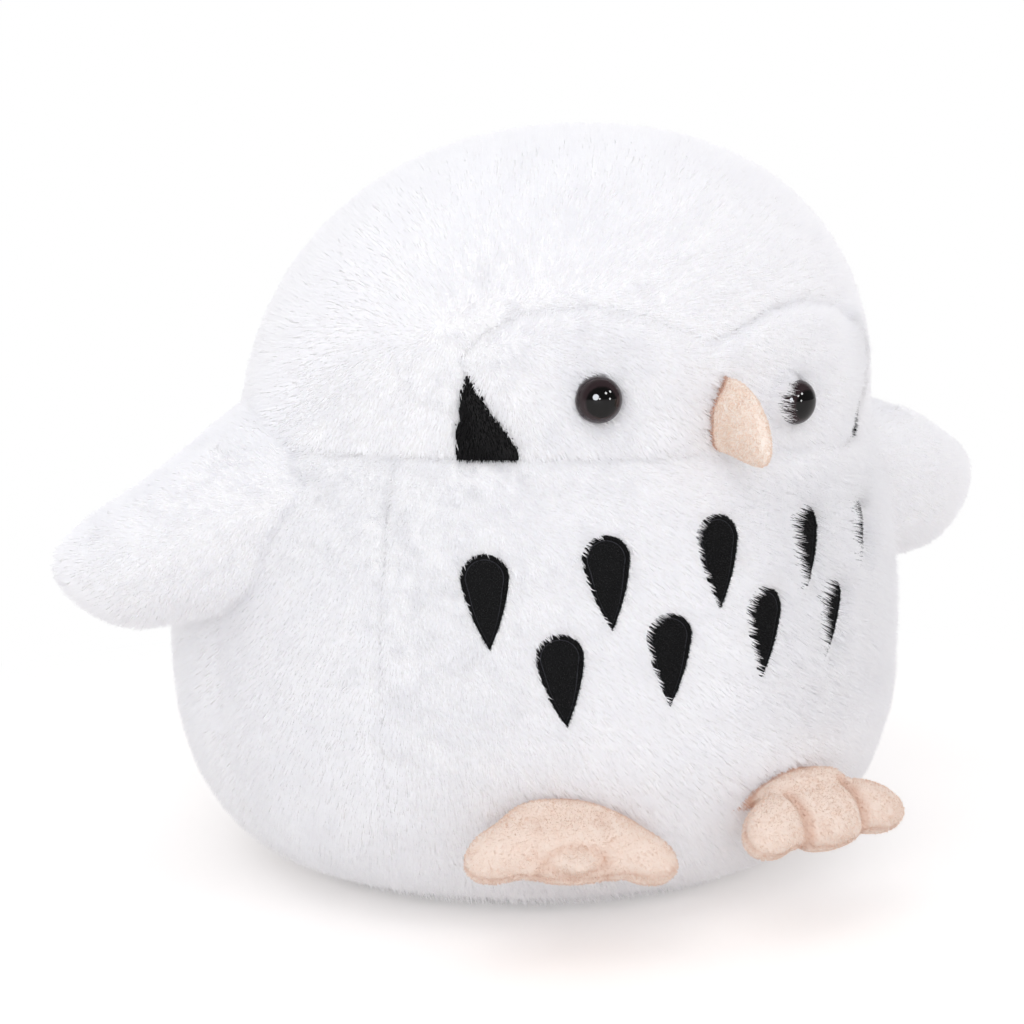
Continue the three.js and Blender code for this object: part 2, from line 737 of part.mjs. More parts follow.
const headSkin = keepAbove(headForm(0).subtract(headForm(plushThickness, true)), neckHeight + halfSeam);
const maskSkin = keepAbove(faceForm(0).subtract(faceForm(plushThickness, true)), neckHeight + halfSeam);
const maskHole = frontCutter(maskOutline(), halfSeam);
let facePanel = maskSkin.intersect(frontCutter(maskOutline(), -halfSeam));
let crownPanel = headSkin.subtract(maskHole);
for (const cheek of sides) {
  const { word, side } = cheek;
  facePanel = facePanel.subtract(eyePlug(cheek, stemRadius + stemClearance, stemLength));
  const patch = headSkin.intersect(frontCutter(patchOutline(side), -halfSeam)).subtract(maskHole);
  crownPanel = crownPanel.subtract(frontCutter(patchOutline(side), halfSeam));
  add(`cheek_patch_${word}`, patch, blackPlush);
}
add("face_panel", facePanel, whitePlush);
add("crown_panel", crownPanel, whitePlush);

const bodyFill = keepBelow(bodyForm(fillInset, true), neckHeight - fillGap / 2);
const maskInside = faceForm(plushThickness + maskFillGap, true);
const maskFill = maskInside.intersect(frontCutter(maskOutline(), -seamGap));
const maskRoom = frontCutter(maskOutline(), 0).subtract(maskInside);
let headFill = headForm(fillInset, true).add(maskFill).subtract(maskRoom);
headFill = keepAbove(headFill, neckHeight + fillGap / 2);
for (const cheek of sides) {
  headFill = headFill.subtract(eyePlug(cheek, washerRadius + pocketClearance, stemLength + pocketClearance));
  const washerDepth = plushThickness + washerGap + washerThickness / 2;
  add(`eye_${cheek.word}`, atEye(eyeGeometry(), cheek, -eyeSeatGap), brownPlastic);
  add(`eye_washer_${cheek.word}`, atEye(washerGeometry(), cheek, washerDepth), washerPlastic);
}
add("body_fill", bodyFill, fibreFilling);
add("head_fill", headFill, fibreFilling);

const faceRoom = faceForm(-seatGap);
const beakSock = beakForm(0).subtract(beakForm(velourThickness));
add("beak_cover", beakSock.subtract(faceRoom), peachVelour);
add("beak_fill", beakForm(velourThickness + fillGap).subtract(faceRoom), fibreFilling);

const spotBed = bodyForm(-seatGap, true);
const spotTop = bodyForm(-seatGap - patchThickness, true);
spotPlaces.forEach((spot, i) => {
  add(`breast_spot_${i + 1}`, spotPrism(spot).intersect(spotTop).subtract(spotBed), blackPatch);
});

// The two halves of a bag on either side of its seam, less half a seam each.
function halves(bag, { square, at }) {
  const other = square.clone().negate();
  return [
    bag.trimByPlane(square.toArray(), at + halfSeam),
    bag.trimByPlane(other.toArray(), halfSeam - at),
  ];
}

for (const wing of sides) {
  const bag = wingForm(wing, 0).subtract(wingForm(wing, plushThickness));
  const [front, rear] = halves(bag, wingSeam(wing));
  add(`wing_front_${wing.word}`, front, whitePlush);
  add(`wing_rear_${wing.word}`, rear, whitePlush);
  add(`wing_fill_${wing.word}`, wingForm(wing, fillInset), fibreFilling);
}

for (const foot of sides) {
  const bag = footForm(foot, 0).subtract(footForm(foot, velourThickness));
  const [top, sole] = halves(bag, footSeam(foot.side));
  add(`foot_top_${foot.word}`, top, peachVelour);
  add(`foot_sole_${foot.word}`, sole, peachVelour);
  add(`foot_fill_${foot.word}`, footForm(foot, velourThickness + fillGap), fibreFilling);
}

export default owl;
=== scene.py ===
import json
import math

import bmesh
import bpy
import numpy as np
from mathutils import Matrix, Vector
from mathutils.bvhtree import BVHTree


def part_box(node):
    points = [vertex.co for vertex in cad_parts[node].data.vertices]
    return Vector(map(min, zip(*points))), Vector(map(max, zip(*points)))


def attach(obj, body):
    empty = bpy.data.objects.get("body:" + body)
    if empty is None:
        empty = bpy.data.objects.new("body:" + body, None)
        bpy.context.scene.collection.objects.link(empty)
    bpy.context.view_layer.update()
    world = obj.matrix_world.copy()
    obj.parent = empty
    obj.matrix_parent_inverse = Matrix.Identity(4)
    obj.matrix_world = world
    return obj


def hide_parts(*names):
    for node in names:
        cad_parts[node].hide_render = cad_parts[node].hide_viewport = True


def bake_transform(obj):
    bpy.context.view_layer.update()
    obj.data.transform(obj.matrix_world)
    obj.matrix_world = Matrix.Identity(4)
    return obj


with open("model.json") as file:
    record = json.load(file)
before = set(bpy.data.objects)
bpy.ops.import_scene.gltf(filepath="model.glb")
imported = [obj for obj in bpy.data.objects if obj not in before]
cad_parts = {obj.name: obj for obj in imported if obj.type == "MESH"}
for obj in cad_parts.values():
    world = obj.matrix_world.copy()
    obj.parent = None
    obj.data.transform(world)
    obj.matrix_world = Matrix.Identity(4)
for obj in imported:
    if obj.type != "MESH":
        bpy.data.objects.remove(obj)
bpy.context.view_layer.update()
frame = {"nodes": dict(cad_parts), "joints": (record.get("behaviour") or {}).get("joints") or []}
print("frame loaded:", len(frame["nodes"]), "nodes")

mm = 0.001
scene = bpy.context.scene
rng = np.random.default_rng(7)


# Small helpers

def toLinear(hexColour):
    parts = [int(hexColour[i:i + 2], 16) / 255 for i in (1, 3, 5)]
    return (*[p / 12.92 if p <= 0.04045 else ((p + 0.055) / 1.055) ** 2.4 for p in parts], 1.0)


def addNode(tree, kind, inputs=None, **settings):
    node = tree.nodes.new(kind)
    for key, value in settings.items():
        setattr(node, key, value)
    for key, value in (inputs or {}).items():
        if isinstance(value, bpy.types.NodeSocket):
            tree.links.new(value, node.inputs[key])
        else:
            node.inputs[key].default_value = value
    return node


# A new material, its node tree and the node that gives its coordinates
def newMaterial(name):
    material = bpy.data.materials.new(name)
    material.use_nodes = True
    tree = material.node_tree
    tree.nodes.clear()
    return material, tree, addNode(tree, "ShaderNodeTexCoord")


def finishMaterial(material, shader):
    addNode(material.node_tree, "ShaderNodeOutputMaterial", {"Surface": shader.outputs[0]})
    return material


def newObject(name, bm, smooth=True):
    mesh = bpy.data.meshes.new(name)
    bm.to_mesh(mesh)
    bm.free()
    obj = bpy.data.objects.new(name, mesh)
    scene.collection.objects.link(obj)
    mesh.polygons.foreach_set("use_smooth", [smooth] * len(mesh.polygons))
    return obj


def applyModifiers(obj):
    graph = bpy.context.evaluated_depsgraph_get()
    mesh = bpy.data.meshes.new_from_object(obj.evaluated_get(graph))
    obj.modifiers.clear()
    old = obj.data
    obj.data = mesh
    mesh.name = obj.name
    bpy.data.meshes.remove(old)
    mesh.polygons.foreach_set("use_smooth", [True] * len(mesh.polygons))
    return obj


def readVectors(items, key):
    flat = np.zeros(len(items) * 3)
    items.foreach_get(key, flat)
    return flat.reshape(-1, 3)


def pointsOf(obj):
    return readVectors(obj.data.vertices, "co")


def normalsOf(obj):
    return readVectors(obj.data.vertex_normals, "vector")


def faceCentres(obj):
    return readVectors(obj.data.polygons, "center")


def setAttribute(obj, name, kind, values):
    key = "vector" if kind == "FLOAT_VECTOR" else "value"
    obj.data.attributes.new(name, kind, "POINT").data.foreach_set(key, np.ravel(values))


def movePoints(obj, points):
    obj.data.vertices.foreach_set("co", points.ravel())
    obj.data.update()


def unit(vectors):
    return vectors / np.maximum(np.linalg.norm(vectors, axis=1, keepdims=True), 1e-12)


def treeOf(obj):
    return BVHTree.FromPolygons(
        pointsOf(obj).tolist(), [list(face.vertices) for face in obj.data.polygons])


# The way towards an azimuth from the toy's front and an angle up
def direction(azimuth, up=0.0):
    return Vector((math.sin(azimuth) * math.cos(up), -math.cos(azimuth) * math.cos(up),
                   math.sin(up)))


weld = 0.01 * mm  # points nearer than this are one point


# A closed bmesh of several CAD nodes, whose loose triangles are welded first
def weldedNodes(names):
    bm = bmesh.new()
    for name in names:
        bm.from_mesh(frame["nodes"][name].data)
    bmesh.ops.remove_doubles(bm, verts=bm.verts, dist=weld)
    return bm


# One skin round everything that a bmesh fills, as even quads
def voxelSkin(name, bm, voxel, smoothing):
    obj = newObject(name, bm)
    remesh = obj.modifiers.new("remesh", "REMESH")
    remesh.mode = "VOXEL"
    remesh.voxel_size = voxel
    relax = obj.modifiers.new("relax", "SMOOTH")
    relax.factor = 0.5
    relax.iterations = smoothing
    return applyModifiers(obj)


# Cloth with air pressure inside swells between its pinned seams, and no point moves past the cap
def puffUp(obj, pinned, settings):
    group = obj.vertex_groups.new(name="seams")
    group.add([int(i) for i in np.nonzero(pinned)[0]], 1.0, "REPLACE")
    before = pointsOf(obj)
    cloth = obj.modifiers.new("puff", "CLOTH")
    cloth.settings.vertex_group_mass = "seams"
    cloth.settings.quality = settings["quality"]
    cloth.settings.mass = settings["mass"]
    cloth.settings.tension_stiffness = settings["stiffness"]
    cloth.settings.compression_stiffness = settings["stiffness"]
    cloth.settings.use_pressure = True
    cloth.settings.uniform_pressure_force = settings["pressure"]
    cloth.settings.effector_weights.gravity = 0
    cloth.point_cache.frame_end = settings["frames"]
    for step in range(1, settings["frames"] + 1):
        scene.frame_set(step)
    applyModifiers(obj)
    obj.vertex_groups.clear()
    scene.frame_set(1)
    moved = pointsOf(obj) - before
    length = np.maximum(np.linalg.norm(moved, axis=1, keepdims=True), 1e-9)
    movePoints(obj, before + moved * np.minimum(1, settings["cap"] / length))
    print("puffed", obj.name, "by up to", round(float(length.max()) / mm, 1), "mm")


noiseWaves = {"count": 14, "channels": 3, "pitch": (0.7, 1.5)}  # pitch in shares of a wavelength


# Smooth noise from crossing waves of about one wavelength, for clumps in the pile
def softNoise(points, wavelength, seed):
    waves = np.random.default_rng(seed)
    count, channels = noiseWaves["count"], noiseWaves["channels"]
    total = np.zeros((len(points), channels))
    for _ in range(count):
        heading = unit(waves.normal(size=(1, 3)))[0]
        pitch = wavelength * waves.uniform(*noiseWaves["pitch"])
        phase = waves.uniform(0, 2 * math.pi, channels)
        weight = waves.normal(size=channels)
        total += weight * np.sin((points @ heading)[:, None] * 2 * math.pi / pitch + phase)
    return total / math.sqrt(count)


# Plush body and head

sides = {"left": 1, "right": -1}
bodyForm = {
    "voxel": 6 * mm,
    "smoothing": 8,
    "skinDepth": 3.6 * mm,  # how far the ground of the plush lies under its pile's tips
    "neck": (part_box("crown_panel")[0].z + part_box("belly_panel")[1].z) / 2,
    "baseSeam": (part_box("base_panel")[1].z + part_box("belly_panel")[0].z) / 2,
    "bellySeam": math.radians(50),
    "wingSeam": math.radians(80),
    "pinReach": 4 * mm,
    "clothThickness": 1.6 * mm,
    "lowest": 0.4 * mm,  # the ground of the base stands this far off the floor
}
puff = {"pressure": 3.0, "frames": 14, "quality": 4, "mass": 0.4, "stiffness": 12, "cap": 4 * mm}
# The breast's pile grows longer towards the toy's left, on a ground that lies as much deeper, so
# it hides more and more of the spots there. Azimuths are in degrees and heights in millimetres.
breastPile = {
    "extra": 4.8 * mm,
    "fromAzimuth": (0, 26),
    "toAzimuth": (80, 60),
    "fromHeight": (75, 105),
    "toHeight": (212, 196),
}
seamGroove = {
    "neck": (1.3 * mm, 4.0 * mm),  # depth and half width
    "sides": (0.5 * mm, 3.6 * mm),
    "back": (0.9 * mm, 3.4 * mm),
    "base": (1.6 * mm, 3.6 * mm),
    "brow": (1.9 * mm, 3.8 * mm),
    "patch": (0.8 * mm, 2.5 * mm),
}
# The brow's groove has this share of its depth on the toy's right, and so much more on its left
browDepth = {"share": 0.8, "more": 0.7, "from": -20 * mm, "to": 40 * mm}

# Half of the edge of the face panel, as shares of its half width and of its height above the neck
browShares = [(0, 0.75), (0.14, 0.82), (0.31, 0.93), (0.52, 1), (0.79, 0.94), (0.93, 0.79),
              (1, 0.62), (0.925, 0.38), (0.8, 0.08), (0.79, -0.06)]
# The mask runs in less on the left, below its widest point
leftSpread = {"below": 0.62, "share": 0.16}
cheekShares = [(0.962, 1.1), (0.985, 0.75), (0.99, 0.3), (0.985, 0), (0.7, 0), (0.7, 0.6)]
cheekEdge = 3  # so many of these points, from the first, are on its outer seam


def faceOutline():
    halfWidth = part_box("face_panel")[1].x
    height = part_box("face_panel")[1].z - bodyForm["neck"]
    spread = [1 + leftSpread["share"] * max(leftSpread["below"] - z, 0) for _, z in browShares]
    left = [(x * halfWidth * wider, z) for (x, z), wider in zip(browShares, spread)]
    right = [(-x * halfWidth, z) for x, z in reversed(browShares[1:])]
    return [(x, bodyForm["neck"] + z * height) for x, z in right + left]


def cheekOutline(side):
    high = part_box("cheek_patch_left")[1]
    height = high.z - bodyForm["neck"]
    points = [(side * x * high.x, bodyForm["neck"] + z * height) for x, z in cheekShares]
    return points if side > 0 else points[::-1]


def distanceToLine(x, z, line, closed):
    best = np.full(len(x), 1e9)
    pairs = zip(line, line[1:] + line[:1]) if closed else zip(line, line[1:])
    for (ax, az), (bx, bz) in pairs:
        dx, dz = bx - ax, bz - az
        share = np.clip(((x - ax) * dx + (z - az) * dz) / (dx * dx + dz * dz), 0, 1)
        best = np.minimum(best, np.hypot(x - ax - share * dx, z - az - share * dz))
    return best


def insideOutline(x, z, line):
    inside = np.zeros(len(x), bool)
    for (ax, az), (bx, bz) in zip(line, line[1:] + line[:1]):
        crosses = (az > z) != (bz > z)
        inside ^= crosses & (x < (bx - ax) * (z - az) / (bz - az + 1e-12) + ax)
    return inside


def ramp(values, start, end):
    share = np.clip((values - start) / (end - start), 0, 1)
    return share * share * (3 - 2 * share)


def extraPile(points):
    azimuth = np.degrees(np.arctan2(points[:, 0], -points[:, 1]))
    height = points[:, 2] / mm
    share = ramp(azimuth, *breastPile["fromAzimuth"]) * ramp(azimuth, *breastPile["toAzimuth"])
    share *= ramp(height, *breastPile["fromHeight"]) * ramp(height, *breastPile["toHeight"])
    return breastPile["extra"] * share


# How far points lie from each seam. A seam on another part of the toy is far away.
def seamDistances(points):
    x, y, z = points.T
    far = 1.0
    onBody = (z < bodyForm["neck"]) & (z > bodyForm["baseSeam"])
    front = (y < 0) & (z > bodyForm["neck"])
    sideSeams, patch = np.full(len(x), far), np.full(len(x), far)
    for side in sides.values():
        for angle in (bodyForm["bellySeam"], bodyForm["wingSeam"]):
            turn = side * angle
            ahead = x * math.sin(turn) - y * math.cos(turn) > 0
            off = np.abs(x * math.cos(turn) + y * math.sin(turn))
            sideSeams = np.where(onBody & ahead, np.minimum(sideSeams, off), sideSeams)
        outline = cheekOutline(side)
        edge = outline[:cheekEdge] if side > 0 else outline[-cheekEdge:]
        patch = np.minimum(patch, distanceToLine(x, z, edge, False))
    return {
        "neck": np.abs(z - bodyForm["neck"]),
        "base": np.abs(z - bodyForm["baseSeam"]),
        "back": np.where(onBody & (y > 0), np.abs(x), far),
        "sides": sideSeams,
        "brow": np.where(front, distanceToLine(x, z, faceOutline(), False), far),
        "patch": np.where(front, patch, far),
    }


def panelOf(points):
    x, y, z = points.T
    azimuth = np.arctan2(x, -y)
    front = y < 0
    names = np.full(len(x), "crown_panel", dtype=object)
    for word, side in sides.items():
        names[front & insideOutline(x, z, cheekOutline(side))] = f"cheek_patch_{word}"
    names[front & insideOutline(x, z, faceOutline())] = "face_panel"
    onBody = z < bodyForm["neck"]
    names[onBody] = "belly_panel"
    for word, side in sides.items():
        names[onBody & (azimuth * side > bodyForm["bellySeam"])] = f"side_panel_{word}"
        names[onBody & (azimuth * side > bodyForm["wingSeam"])] = f"back_panel_{word}"
    names[z < bodyForm["baseSeam"]] = "base_panel"
    return names


rootPanels = ["base_panel", "belly_panel", "side_panel_left", "side_panel_right",
              "back_panel_left", "back_panel_right", "crown_panel", "face_panel",
              "cheek_patch_left", "cheek_patch_right"]


def makeBodySkin():
    bm = weldedNodes(rootPanels + ["body_fill", "head_fill"])
    skin = voxelSkin("body_skin", bm, bodyForm["voxel"], bodyForm["smoothing"])
    movePoints(skin, pointsOf(skin) - normalsOf(skin) * bodyForm["skinDepth"])
    points = pointsOf(skin)
    seams = seamDistances(points)
    pinned = points[:, 2] < bodyForm["baseSeam"]
    for name in ("neck", "sides", "back", "brow"):
        pinned |= seams[name] < bodyForm["pinReach"]
    puffUp(skin, pinned, puff)
    finer = skin.modifiers.new("finer", "SUBSURF")
    finer.levels = finer.render_levels = 1
    applyModifiers(skin)
    points = pointsOf(skin)
    seams = seamDistances(points)
    depth = np.zeros(len(points))
    towardsLeft = ramp(points[:, 0], browDepth["from"], browDepth["to"])
    browShare = browDepth["share"] + browDepth["more"] * towardsLeft
    for name, (deep, halfWidth) in seamGroove.items():
        share = browShare if name == "brow" else 1
        depth = np.maximum(depth, share * deep * np.exp(-((seams[name] / halfWidth) ** 2)))
    points = points - normalsOf(skin) * (depth + extraPile(points))[:, None]
    points[:, 2] = np.maximum(points[:, 2], bodyForm["lowest"])
    movePoints(skin, points)
    return skin


bodySkin = makeBodySkin()
skinTree = treeOf(bodySkin)
print("body skin:", len(bodySkin.data.vertices), "points")


# Cuts one panel out of a skin and gives it the thickness of its cloth
def cutPanel(skin, name, keep, thickness):
    bm = bmesh.new()
    bm.from_mesh(skin.data)
    bm.faces.ensure_lookup_table()
    bmesh.ops.delete(bm, geom=[bm.faces[i] for i in np.nonzero(~keep)[0]], context="FACES")
    panel = newObject(name, bm)
    wall = panel.modifiers.new("cloth", "SOLIDIFY")
    wall.thickness = thickness
    wall.offset = -1
    return applyModifiers(panel)


# Pile: small closed tufts standing on a skin

pileTuft = {
    "widthSpread": 0.3,
    "shortest": 0.4 * mm,
    "floorGap": 0.3 * mm,  # no tip comes nearer to the floor
    "perPiece": 45000,
}
# Waves of two lengths turn the comb, in radians, and vary the lean and the length
pileWaves = {
    "seeds": (21, 22),
    "clump": 16 * mm,
    "strand": 5 * mm,
    "turn": (0.25, 0.15),
    "lean": (0.1, 0.05),
    "length": 0.03,
    "lengthSpread": 0.06,  # from one tuft to the next
}


# A tuft of unit height and width: a slim cone of four faces, since it is repeated so often
def makeTuft():
    bm = bmesh.new()
    bmesh.ops.create_cone(bm, cap_ends=True, cap_tris=False, segments=3, radius1=0.5, radius2=0,
                          depth=1)
    bmesh.ops.translate(bm, vec=(0, 0, 0.5), verts=bm.verts)
    bmesh.ops.recalc_face_normals(bm, faces=bm.faces)
    tuft = newObject("pile_tuft", bm, smooth=False)
    tuft.hide_render = tuft.hide_viewport = True
    return tuft


pileTuftShape = makeTuft()


# Geometry nodes that stand the tuft on every point, along its aim and at its own size
def pileNodes():
    tree = bpy.data.node_groups.new("pile on points", "GeometryNodeTree")
    for name, way in (("Points", "INPUT"), ("Pile", "OUTPUT")):
        tree.interface.new_socket(name, in_out=way, socket_type="NodeSocketGeometry")
    start = addNode(tree, "NodeGroupInput")
    aim, size = [
        addNode(tree, "GeometryNodeInputNamedAttribute", {"Name": name}, data_type="FLOAT_VECTOR")
        for name in ("aim", "size")]
    turned = addNode(tree, "FunctionNodeAlignRotationToVector", {
        "Vector": aim.outputs["Attribute"]}, axis="Z")
    tuft = addNode(tree, "GeometryNodeObjectInfo", {"Object": pileTuftShape})
    placed = addNode(tree, "GeometryNodeInstanceOnPoints", {
        "Points": start.outputs[0],
        "Instance": tuft.outputs["Geometry"],
        "Rotation": turned.outputs[0],
        "Scale": size.outputs["Attribute"],
    })
    real = addNode(tree, "GeometryNodeRealizeInstances", {"Geometry": placed.outputs[0]})
    addNode(tree, "NodeGroupOutput", {0: real.outputs[0]})
    return tree


pileTree = pileNodes()


# Random places on a mesh, or on the faces of it that are kept, with the skin's normal there
def scatterOn(obj, density, keep=None):
    mesh = obj.data
    mesh.calc_loop_triangles()
    corners = np.zeros(len(mesh.loop_triangles) * 3, int)
    mesh.loop_triangles.foreach_get("vertices", corners)
    corners = corners.reshape(-1, 3)
    if keep is not None:
        owner = np.zeros(len(mesh.loop_triangles), int)
        mesh.loop_triangles.foreach_get("polygon_index", owner)
        corners = corners[keep[owner]]
    points, normals = pointsOf(obj), normalsOf(obj)
    a, b, c = (points[corners[:, i]] for i in range(3))
    area = np.linalg.norm(np.cross(b - a, c - a), axis=1) / 2
    count = int(area.sum() * density)
    chosen = rng.choice(len(area), size=count, p=area / area.sum())
    u, v = rng.random(count), rng.random(count)
    over = u + v > 1
    u[over], v[over] = 1 - u[over], 1 - v[over]
    weights = np.stack([1 - u - v, u, v])[:, :, None]
    places = sum(weights[i] * points[corners[chosen, i]] for i in range(3))
    facing = unit(sum(weights[i] * normals[corners[chosen, i]] for i in range(3)))
    return places, facing


def layFlow(facing, flow):
    return unit(flow - facing * np.sum(flow * facing, axis=1, keepdims=True))


def coat(obj, material):
    obj.data.materials.clear()
    obj.data.materials.append(material)


def dress(obj, material, slotName, *nodes):
    coat(obj, material)
    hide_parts(*nodes)


def rideOwl(obj):
    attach(obj, "owl")


# Stands pile on places and combs it along the flow. Its form gives length, lean, mess and width.
def makePile(name, places, facing, flow, form, material, carry, fold=None):
    clumps, strands = (softNoise(places, pileWaves[key], seed)
                       for key, seed in zip(("clump", "strand"), pileWaves["seeds"]))
    along = layFlow(facing, flow)
    across = np.cross(facing, along)
    clumpTurn, strandTurn = pileWaves["turn"]
    turn = clumpTurn * clumps[:, :1] + strandTurn * strands[:, :1]
    comb = along * np.cos(turn) + across * np.sin(turn)
    clumpLean, strandLean = pileWaves["lean"]
    lean = form["lean"] * (1 + clumpLean * clumps[:, 1]) + strandLean * strands[:, 1]
    aim = unit(facing + comb * lean[:, None] + rng.normal(size=places.shape) * form["mess"])
    spread = rng.normal(size=len(places)) * pileWaves["lengthSpread"]
    tall = form["length"] * (1 + pileWaves["length"] * clumps[:, 2] + spread)
    room = (places[:, 2] - pileTuft["floorGap"]) / np.maximum(-aim[:, 2], 0.01)
    tall = np.clip(tall, pileTuft["shortest"], np.maximum(room, pileTuft["shortest"]))
    wide = form["width"] * (1 + pileTuft["widthSpread"] * rng.uniform(-1, 1, len(places)))
    size = np.stack([wide, wide, tall], axis=1)
    parts = max(1, math.ceil(len(places) / pileTuft["perPiece"]))
    for number, chosen in enumerate(np.array_split(np.argsort(places[:, 0]), parts)):
        partName = name if parts == 1 else f"{name}_{number + 1}"
        mesh = bpy.data.meshes.new(partName)
        mesh.vertices.add(len(chosen))
        mesh.vertices.foreach_set("co", places[chosen].ravel())
        pile = bpy.data.objects.new(partName, mesh)
        setAttribute(pile, "aim", "FLOAT_VECTOR", aim[chosen])
        setAttribute(pile, "size", "FLOAT_VECTOR", size[chosen])
        setAttribute(pile, "tone", "FLOAT", rng.random(len(chosen)))
        if fold is not None:
            setAttribute(pile, "fold", "FLOAT", fold[chosen])
        scene.collection.objects.link(pile)
        pile.modifiers.new("pile", "NODES").node_group = pileTree
        applyModifiers(pile)
        for key in ("aim", "size"):
            pile.data.attributes.remove(pile.data.attributes[key])
        pile.data.polygons.foreach_set("use_smooth", [False] * len(pile.data.polygons))
        coat(pile, material)
        carry(pile)
    print("pile", name, len(places), "tufts in", parts)


# Materials

# Polyester plush, brushed up and sheared: matt and nearly all white, so light wanders between
# its fibres
def plushMaterial(name, light, shade, patchSize):
    material, tree, place = newMaterial(name)
    patches = addNode(tree, "ShaderNodeTexNoise", {
        "Vector": place.outputs["Object"], "Scale": 1 / patchSize, "Detail": 3.0, "Roughness": 0.6})
    tone = addNode(tree, "ShaderNodeAttribute", attribute_name="tone")
    both = addNode(tree, "ShaderNodeMath", {
        0: tone.outputs["Fac"], 1: patches.outputs["Fac"]}, operation="ADD")
    share = addNode(tree, "ShaderNodeMath", {0: both.outputs[0], 1: 0.5}, operation="MULTIPLY")
    colour = addNode(tree, "ShaderNodeMix", {
        0: share.outputs[0], 6: toLinear(light), 7: toLinear(shade)}, data_type="RGBA")
    shader = addNode(tree, "ShaderNodeBsdfPrincipled", {
        "Base Color": colour.outputs[2], "Roughness": 0.95, "Specular IOR Level": 0.15,
        "Sheen Weight": 0.08, "Sheen Roughness": 0.5})
    return finishMaterial(material, shader)


# The knitted ground of the plush between the pile's roots: the same fibre, fuzzy and a little
# darker
def backingMaterial(name, light, shade, fibre):
    material, tree, place = newMaterial(name)
    fibres = addNode(tree, "ShaderNodeTexNoise", {
        "Vector": place.outputs["Object"], "Scale": 1 / fibre, "Detail": 2.0})
    colour = addNode(tree, "ShaderNodeMix", {
        0: fibres.outputs["Fac"], 6: toLinear(light), 7: toLinear(shade)}, data_type="RGBA")
    bump = addNode(tree, "ShaderNodeBump", {
        "Height": fibres.outputs["Fac"], "Strength": 0.7, "Distance": fibre})
    shader = addNode(tree, "ShaderNodeBsdfPrincipled", {
        "Base Color": colour.outputs[2], "Roughness": 0.95, "Specular IOR Level": 0.15,
        "Normal": bump.outputs[0]})
    return finishMaterial(material, shader)


# Velboa, a short sheared velour: matt, with pinker nap where it is brushed the other way. Its fold
# share mixes in a browner colour: painted shade in its folds and seams, and a darker edge where
# it leaves the pile
def velourMaterial(name, light, shade, deep, nap):
    material, tree, place = newMaterial(name)
    patches = addNode(tree, "ShaderNodeTexNoise", {
        "Vector": place.outputs["Object"], "Scale": 1 / (5 * nap), "Detail": 4.0,
        "Roughness": 0.65})
    curls = addNode(tree, "ShaderNodeTexNoise", {
        "Vector": place.outputs["Object"], "Scale": 1 / nap, "Detail": 3.0, "Roughness": 0.7})
    tone = addNode(tree, "ShaderNodeAttribute", attribute_name="tone")
    both = addNode(tree, "ShaderNodeMath", {
        0: tone.outputs["Fac"], 1: patches.outputs["Fac"]}, operation="ADD")
    share = addNode(tree, "ShaderNodeMapRange", {
        "Value": both.outputs[0], "From Min": 0.3, "From Max": 1.5})
    cloth = addNode(tree, "ShaderNodeMix", {
        0: share.outputs[0], 6: toLinear(light), 7: toLinear(shade)}, data_type="RGBA")
    # The fold share paints shade into folds and seams, and darkens the edge where the velour leaves
    # the pile
    fold = addNode(tree, "ShaderNodeAttribute", attribute_name="fold")
    colour = addNode(tree, "ShaderNodeMix", {
        0: fold.outputs["Fac"], 6: cloth.outputs[2], 7: toLinear(deep)}, data_type="RGBA")
    bump = addNode(tree, "ShaderNodeBump", {
        "Height": curls.outputs["Fac"], "Strength": 0.8, "Distance": nap / 2})
    shader = addNode(tree, "ShaderNodeBsdfPrincipled", {
        "Base Color": colour.outputs[2], "Roughness": 0.9, "Specular IOR Level": 0.2,
        "Sheen Weight": 0.25, "Sheen Roughness": 0.4, "Normal": bump.outputs[0]})
    return finishMaterial(material, shader)


whitePile = plushMaterial("polyester plush pile, white", "#FEFEFE", "#F8F8FA", 18 * mm)
whiteBacking = backingMaterial("polyester plush ground, white", "#FBFBFB", "#F3F2F2", 0.9 * mm)
blackPile = plushMaterial("polyester plush pile, black", "#0D0C0D", "#211F20", 8 * mm)
blackBacking = backingMaterial("polyester plush ground, black", "#0B0B0B", "#121111", 0.9 * mm)
peachVelour = velourMaterial("velboa, peach", "#F2E2D6", "#ECD3C2", "#CB9676", 1.4 * mm)
# Painted light: the beak gets a lighter copy of the feet's peach velboa, standing in for the better
# light on it
litPeachVelour = velourMaterial("velboa, pale peach", "#FDF6EE", "#F0D8C6", "#CB9676", 1.4 * mm)


# Panels of the body and the head

panelNames = panelOf(faceCentres(bodySkin))
panelExtra = {"belly_panel": ["body_fill"], "crown_panel": ["head_fill"]}
pileSettings = {
    "density": 1.25e6,  # tufts per square metre
    "crownDensity": 0.8e6,
    "backDensity": 0.58e6,
    "blackDensity": 1.9e6,
    "baseDensity": 0.3e6,
    "width": 0.66 * mm,  # a tuft stands for a lock of fibres, too fine to show one by one
    "sparser": 0.3,  # the power by which sparser pile is wider, so it covers as much
    "length": 4.9 * mm,
    "blackLength": 4.2 * mm,
    "lean": 0.62,
    "upright": 0.8,  # how much less it leans where it stands up beside an eye or the beak
    "uprightFringe": 4 * mm,
    "mess": 0.13,
    "baseFrom": 3.5 * mm,  # the toy sits on what is lower, and no pile stands there
    "thickFringe": 1 * mm,  # where the fringe is longer than this, more tufts stand by each
    "moreTufts": 3,
    "jitter": 0.4 * mm,
}
# On the crown the pile runs backwards from the brow. Over the front it is brushed towards the
# toy's left as it hangs, and over the rest it hangs straight down.
bodyComb = {"crownRise": 90 * mm, "frontDepth": 120 * mm, "swirl": 60 * mm, "swirlShare": 0.25,
            "seed": 5}
